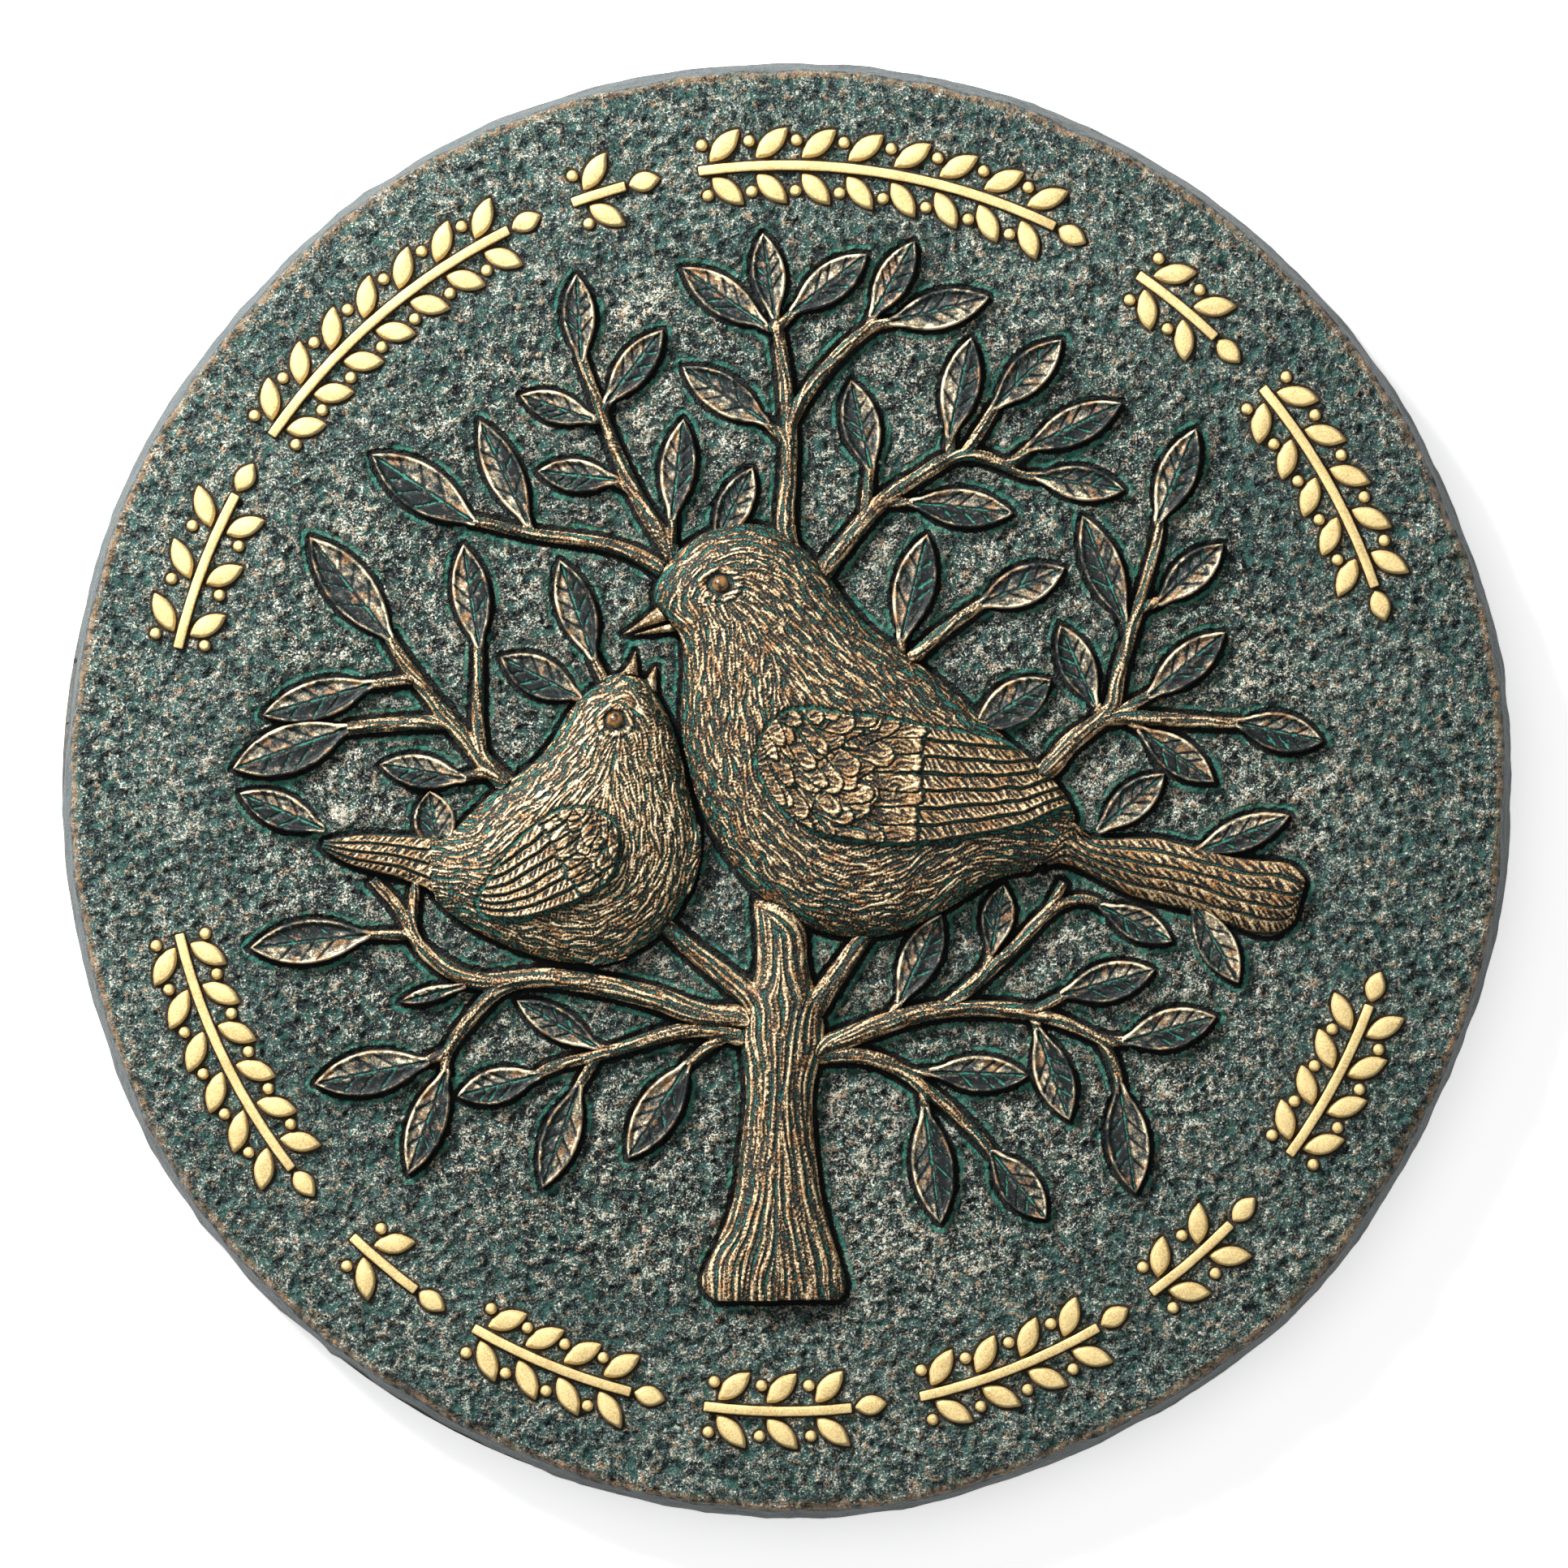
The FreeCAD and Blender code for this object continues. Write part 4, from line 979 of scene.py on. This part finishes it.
copper = times(tree, ramp(tree, noise(tree, where, 1.6, detail=4.0), 0.52, 0.64),
               ramp(tree, level, 0.40, 0.62))
colour = over(tree, colour, paint(168, 128, 90), times(tree, copper, 0.72))
edge = times(tree, ramp(tree, outward, 145.4, 146.8), ramp(tree, outward, 147.9, 147.3))
edge = times(tree, edge, ramp(tree, middle, 0.40, 0.56))
colour = over(tree, colour, paint(52, 64, 68), ramp(tree, outward, 147.1, 147.8, 0.0, 0.80))
colour = over(tree, colour, paint(152, 118, 84), times(tree, edge, 0.70))
# The channel's black is partly dark wash left in it and partly painted shadow at the foot of the
# raised pieces. The darker band past the lip, out to about 4 mm from them, is painted shade.
shaky = plus(tree, gap, swing(tree, middle, 0.5, 1.2))
channel = ramp(tree, shaky, 1.15, 0.75)
lip = times(tree, ramp(tree, shaky, 0.85, 1.15), ramp(tree, shaky, 2.05, 1.65))
lip = times(tree, lip, ramp(tree, noise(tree, where, 5.0, detail=3.0), 0.42, 0.56))
shade_past_lip = times(tree, ramp(tree, shaky, 1.3, 1.7), ramp(tree, shaky, 4.0, 2.0))
colour = over(tree, colour, paint(18, 25, 24), times(tree, shade_past_lip, 0.5))
colour = over(tree, colour, paint(12, 16, 16), channel)
colour = over(tree, colour, paint(48, 118, 101), times(tree, lip, 0.85))
colour = over(tree, colour, paint(48, 38, 28), ramp(tree, sprig_gap, 0.60, 0.25))
height = times(tree, fine, 0.70)
for layer, share in ((middle, 0.55), (scallop, 0.65), (channel, -0.6), (lip, -0.35)):
    height = plus(tree, height, times(tree, layer, share))
feed(tree, shader, {"Base Color": colour, "Roughness": ramp(tree, level, 0.1, 0.9, 0.45, 0.66),
                    "Specular IOR Level": 0.3, "Normal": bumps(tree, height, 1.2)})

cells = int(face_radius / face_pitch) + 3
lines = np.arange(-cells, cells + 1) * face_pitch
for side, xs in (("left", lines[:cells + 1]), ("right", lines[cells:])):
    for end, ys in (("lower", lines[:cells + 1]), ("upper", lines[cells:])):
        quarter = face_quarter("face_%s_%s" % (end, side), xs, ys)
        finished(quarter, stone_paint, "stone", "stone_disc")

# ---------------------------------------------------------------------------------------------
# The hewn rim and side: chipped by hand before casting, so neither edge is a true circle. Each
# row below is a ring of the side, as its radius and its level from the face.
rim_steps = 1500
side_rows = ([(142.3, -0.6)] + [(143.0 + 0.6 * i, 0.0) for i in range(8)]
             + [(147.5, -0.5), (147.9, -1.2)]
             + [(148.0 + 2.0 * i / 16, -2.0 - 15.2 * i / 16) for i in range(17)]
             + [(149.2, -17.98), (148.4, -17.95)])
count = len(side_rows)
rim = fresh_grid("hewn_rim", rim_steps + 1, count)
turn = np.arange(rim_steps + 1) * 2 * math.pi / rim_steps
base_r, base_z = [np.array(column)[:, None] for column in zip(*side_rows)]
noise_rows = 64


def rim_lumps(cells_round, cells_down, seed):
    """Periodic noise round the rim."""
    field = np.random.default_rng(seed).standard_normal((noise_rows, rim_steps))
    fy = 0.24 * cells_down * np.fft.fftfreq(noise_rows)[:, None]
    fx = 0.24 * cells_round * np.fft.rfftfreq(rim_steps)[None, :]
    keep = np.exp(-2 * math.pi ** 2 * (fx * fx + fy * fy))
    field = np.fft.irfft2(np.fft.rfft2(field) * keep, s=field.shape)
    field = (field - field.mean()) / field.std()
    return field[:count, list(range(rim_steps)) + [0]]


chips = rim_lumps(26.0, 14.0, 301)
facets = rim_lumps(9.0, 6.0, 302)
crumbs = rim_lumps(3.4, 2.2, 303)
slow = rim_lumps(110.0, 60.0, 304)[:1]
outer = smoothstep(143.5, 147.5, base_r)
hew = -np.abs(0.24 * chips) + 0.05 * facets + 0.02 * crumbs + 0.45 * slow
radius = base_r + outer * hew
drop = smoothstep(144.2, 148.0, base_r) * (0.55 + 0.40 * chips[:1] + 0.25 * facets[:1])
drop = np.maximum(drop, 0)
x = radius * np.cos(turn)
y = radius * np.sin(turn)
top_rows = base_z > -0.7
gap = np.full(x.shape, far_gap)
level, rough = face_level(x, y, gap, gap)
rough = np.where(top_rows, rough, np.tanh(0.5 * facets + 0.7 * crumbs))
z = base_z + np.where(top_rows, level - drop, -drop * smoothstep(-9.0, -0.5, base_z))
lay_out(rim, x, y, z, {"rough": 0.5 + 0.5 * rough, "gap": gap, "sprig_gap": gap,
                       "outward": np.broadcast_to(base_r, x.shape)})
seal(rim)

finished(rim, stone_paint, "stone", "stone_disc")

# ---------------------------------------------------------------------------------------------
# The back: bare cast stone, flat, with the recess for the hanger plate and the pocket behind it.
back_stone, tree, shader = new_finish("back_stone")
where = place_on(tree)
fine = noise(tree, where, 0.9, detail=5.0, roughness=0.7)
broad = noise(tree, where, 12.0, detail=4.0)
pores = ramp(tree, noise(tree, where, 1.8, detail=2.0), 0.30, 0.36)
cloud = ramp(tree, plus(tree, times(tree, fine, 0.5), times(tree, broad, 0.5)), 0.36, 0.64)
colour = over(tree, paint(70, 72, 70), paint(118, 117, 112), cloud)
colour = over(tree, paint(44, 45, 44), colour, pores)
pitted = bumps(tree, plus(tree, times(tree, fine, 0.3), pores), 0.4, strength=0.6)
feed(tree, shader, {"Base Color": colour, "Roughness": 0.85, "Normal": pitted})


def cad_copy(node, name):
    """A copy of a CAD node with a mesh of its own."""
    made = nodes[node].copy()
    made.data = nodes[node].data.copy()
    made.name = name
    made.parent = None
    for key in list(made.keys()):
        del made[key]
    bpy.context.scene.collection.objects.link(made)
    return made


back = cad_copy("stone_disc", "stone_back")
work = bmesh.new()
work.from_mesh(back.data)
bmesh.ops.remove_doubles(work, verts=work.verts, dist=weld)
foot_radius = max(math.hypot(v.co.x, v.co.y) for v in work.verts)
side_taper = 0.006
hair = 0.0001
gone = []
for face in work.faces:
    centre = face.calc_center_median()
    reach = min(math.hypot(v.co.x, v.co.y) for v in face.verts)
    on_side = reach > foot_radius - side_taper and max(v.co.z for v in face.verts) > hair
    if centre.z > face_z - hair or on_side:
        gone.append(face)
bmesh.ops.delete(work, geom=gone, context="FACES")
work.to_mesh(back.data)
work.free()
back.hide_render = False
back.hide_viewport = False
finished(back, back_stone, "stone", "stone_disc")

# ---------------------------------------------------------------------------------------------
# The gold sprigs on the border: flat-topped, a little rounded at the edges, in matte gold paint
# with a fine brushed grain.
gold_paint, tree, shader = new_finish("gold_paint")
where = place_on(tree)
fine = noise(tree, where, 0.45, detail=4.0, roughness=0.7)
middle = noise(tree, where, 4.0, detail=3.0)
cloud = ramp(tree, plus(tree, times(tree, fine, 0.7), times(tree, middle, 0.3)), 0.34, 0.60)
colour = over(tree, paint(192, 162, 102), paint(238, 212, 150), cloud)
feed(tree, shader, {"Base Color": colour, "Roughness": 0.48, "Metallic": 0.15,
                    "Normal": bumps(tree, fine, 0.2, strength=0.6)})
sunk_below_face = 0.0009

for node in sprig_nodes:
    sprig = cad_copy(node, node + "_gilt")
    work = bmesh.new()
    work.from_mesh(sprig.data)
    bmesh.ops.remove_doubles(work, verts=work.verts, dist=weld)
    bmesh.ops.dissolve_limit(work, angle_limit=math.radians(2), verts=work.verts, edges=work.edges)
    for vertex in work.verts:
        if abs(vertex.co.z - face_z) < near_face:
            vertex.co.z -= sunk_below_face
    work.to_mesh(sprig.data)
    work.free()
    bpy.ops.object.select_all(action="DESELECT")
    sprig.select_set(True)
    bpy.context.view_layer.objects.active = sprig
    bevel = sprig.modifiers.new("soft_edges", "BEVEL")
    bevel.width = 0.00028
    bevel.segments = 2
    bevel.limit_method = "ANGLE"
    bevel.angle_limit = math.radians(35)
    bpy.ops.object.modifier_apply(modifier=bevel.name)
    bpy.ops.object.shade_smooth_by_angle(angle=math.radians(40))
    flat_map(sprig)
    finished(sprig, gold_paint, "gold", node)

# ---------------------------------------------------------------------------------------------
# The hanger in the back: a zinc-plated keyhole plate and its two countersunk screws.
zinc, tree, shader = new_finish("zinc_plate")
where = place_on(tree)
spangle = put(tree, "ShaderNodeTexVoronoi", {"Vector": where, "Scale": 420.0}).outputs["Color"]
spangle = put(tree, "ShaderNodeRGBToBW", {"Color": spangle}).outputs[0]
scuffs = noise(tree, where, 1.2, detail=5.0, roughness=0.75)
colour = over(tree, paint(150, 152, 156), paint(186, 188, 190), ramp(tree, spangle, 0.2, 0.8))
feed(tree, shader, {"Base Color": colour, "Metallic": 1.0,
                    "Roughness": ramp(tree, scuffs, 0.3, 0.7, 0.28, 0.48)})
for node in ("keyhole_plate", "plate_screws"):
    nodes[node].data.materials.clear()
    nodes[node].data.materials.append(zinc)
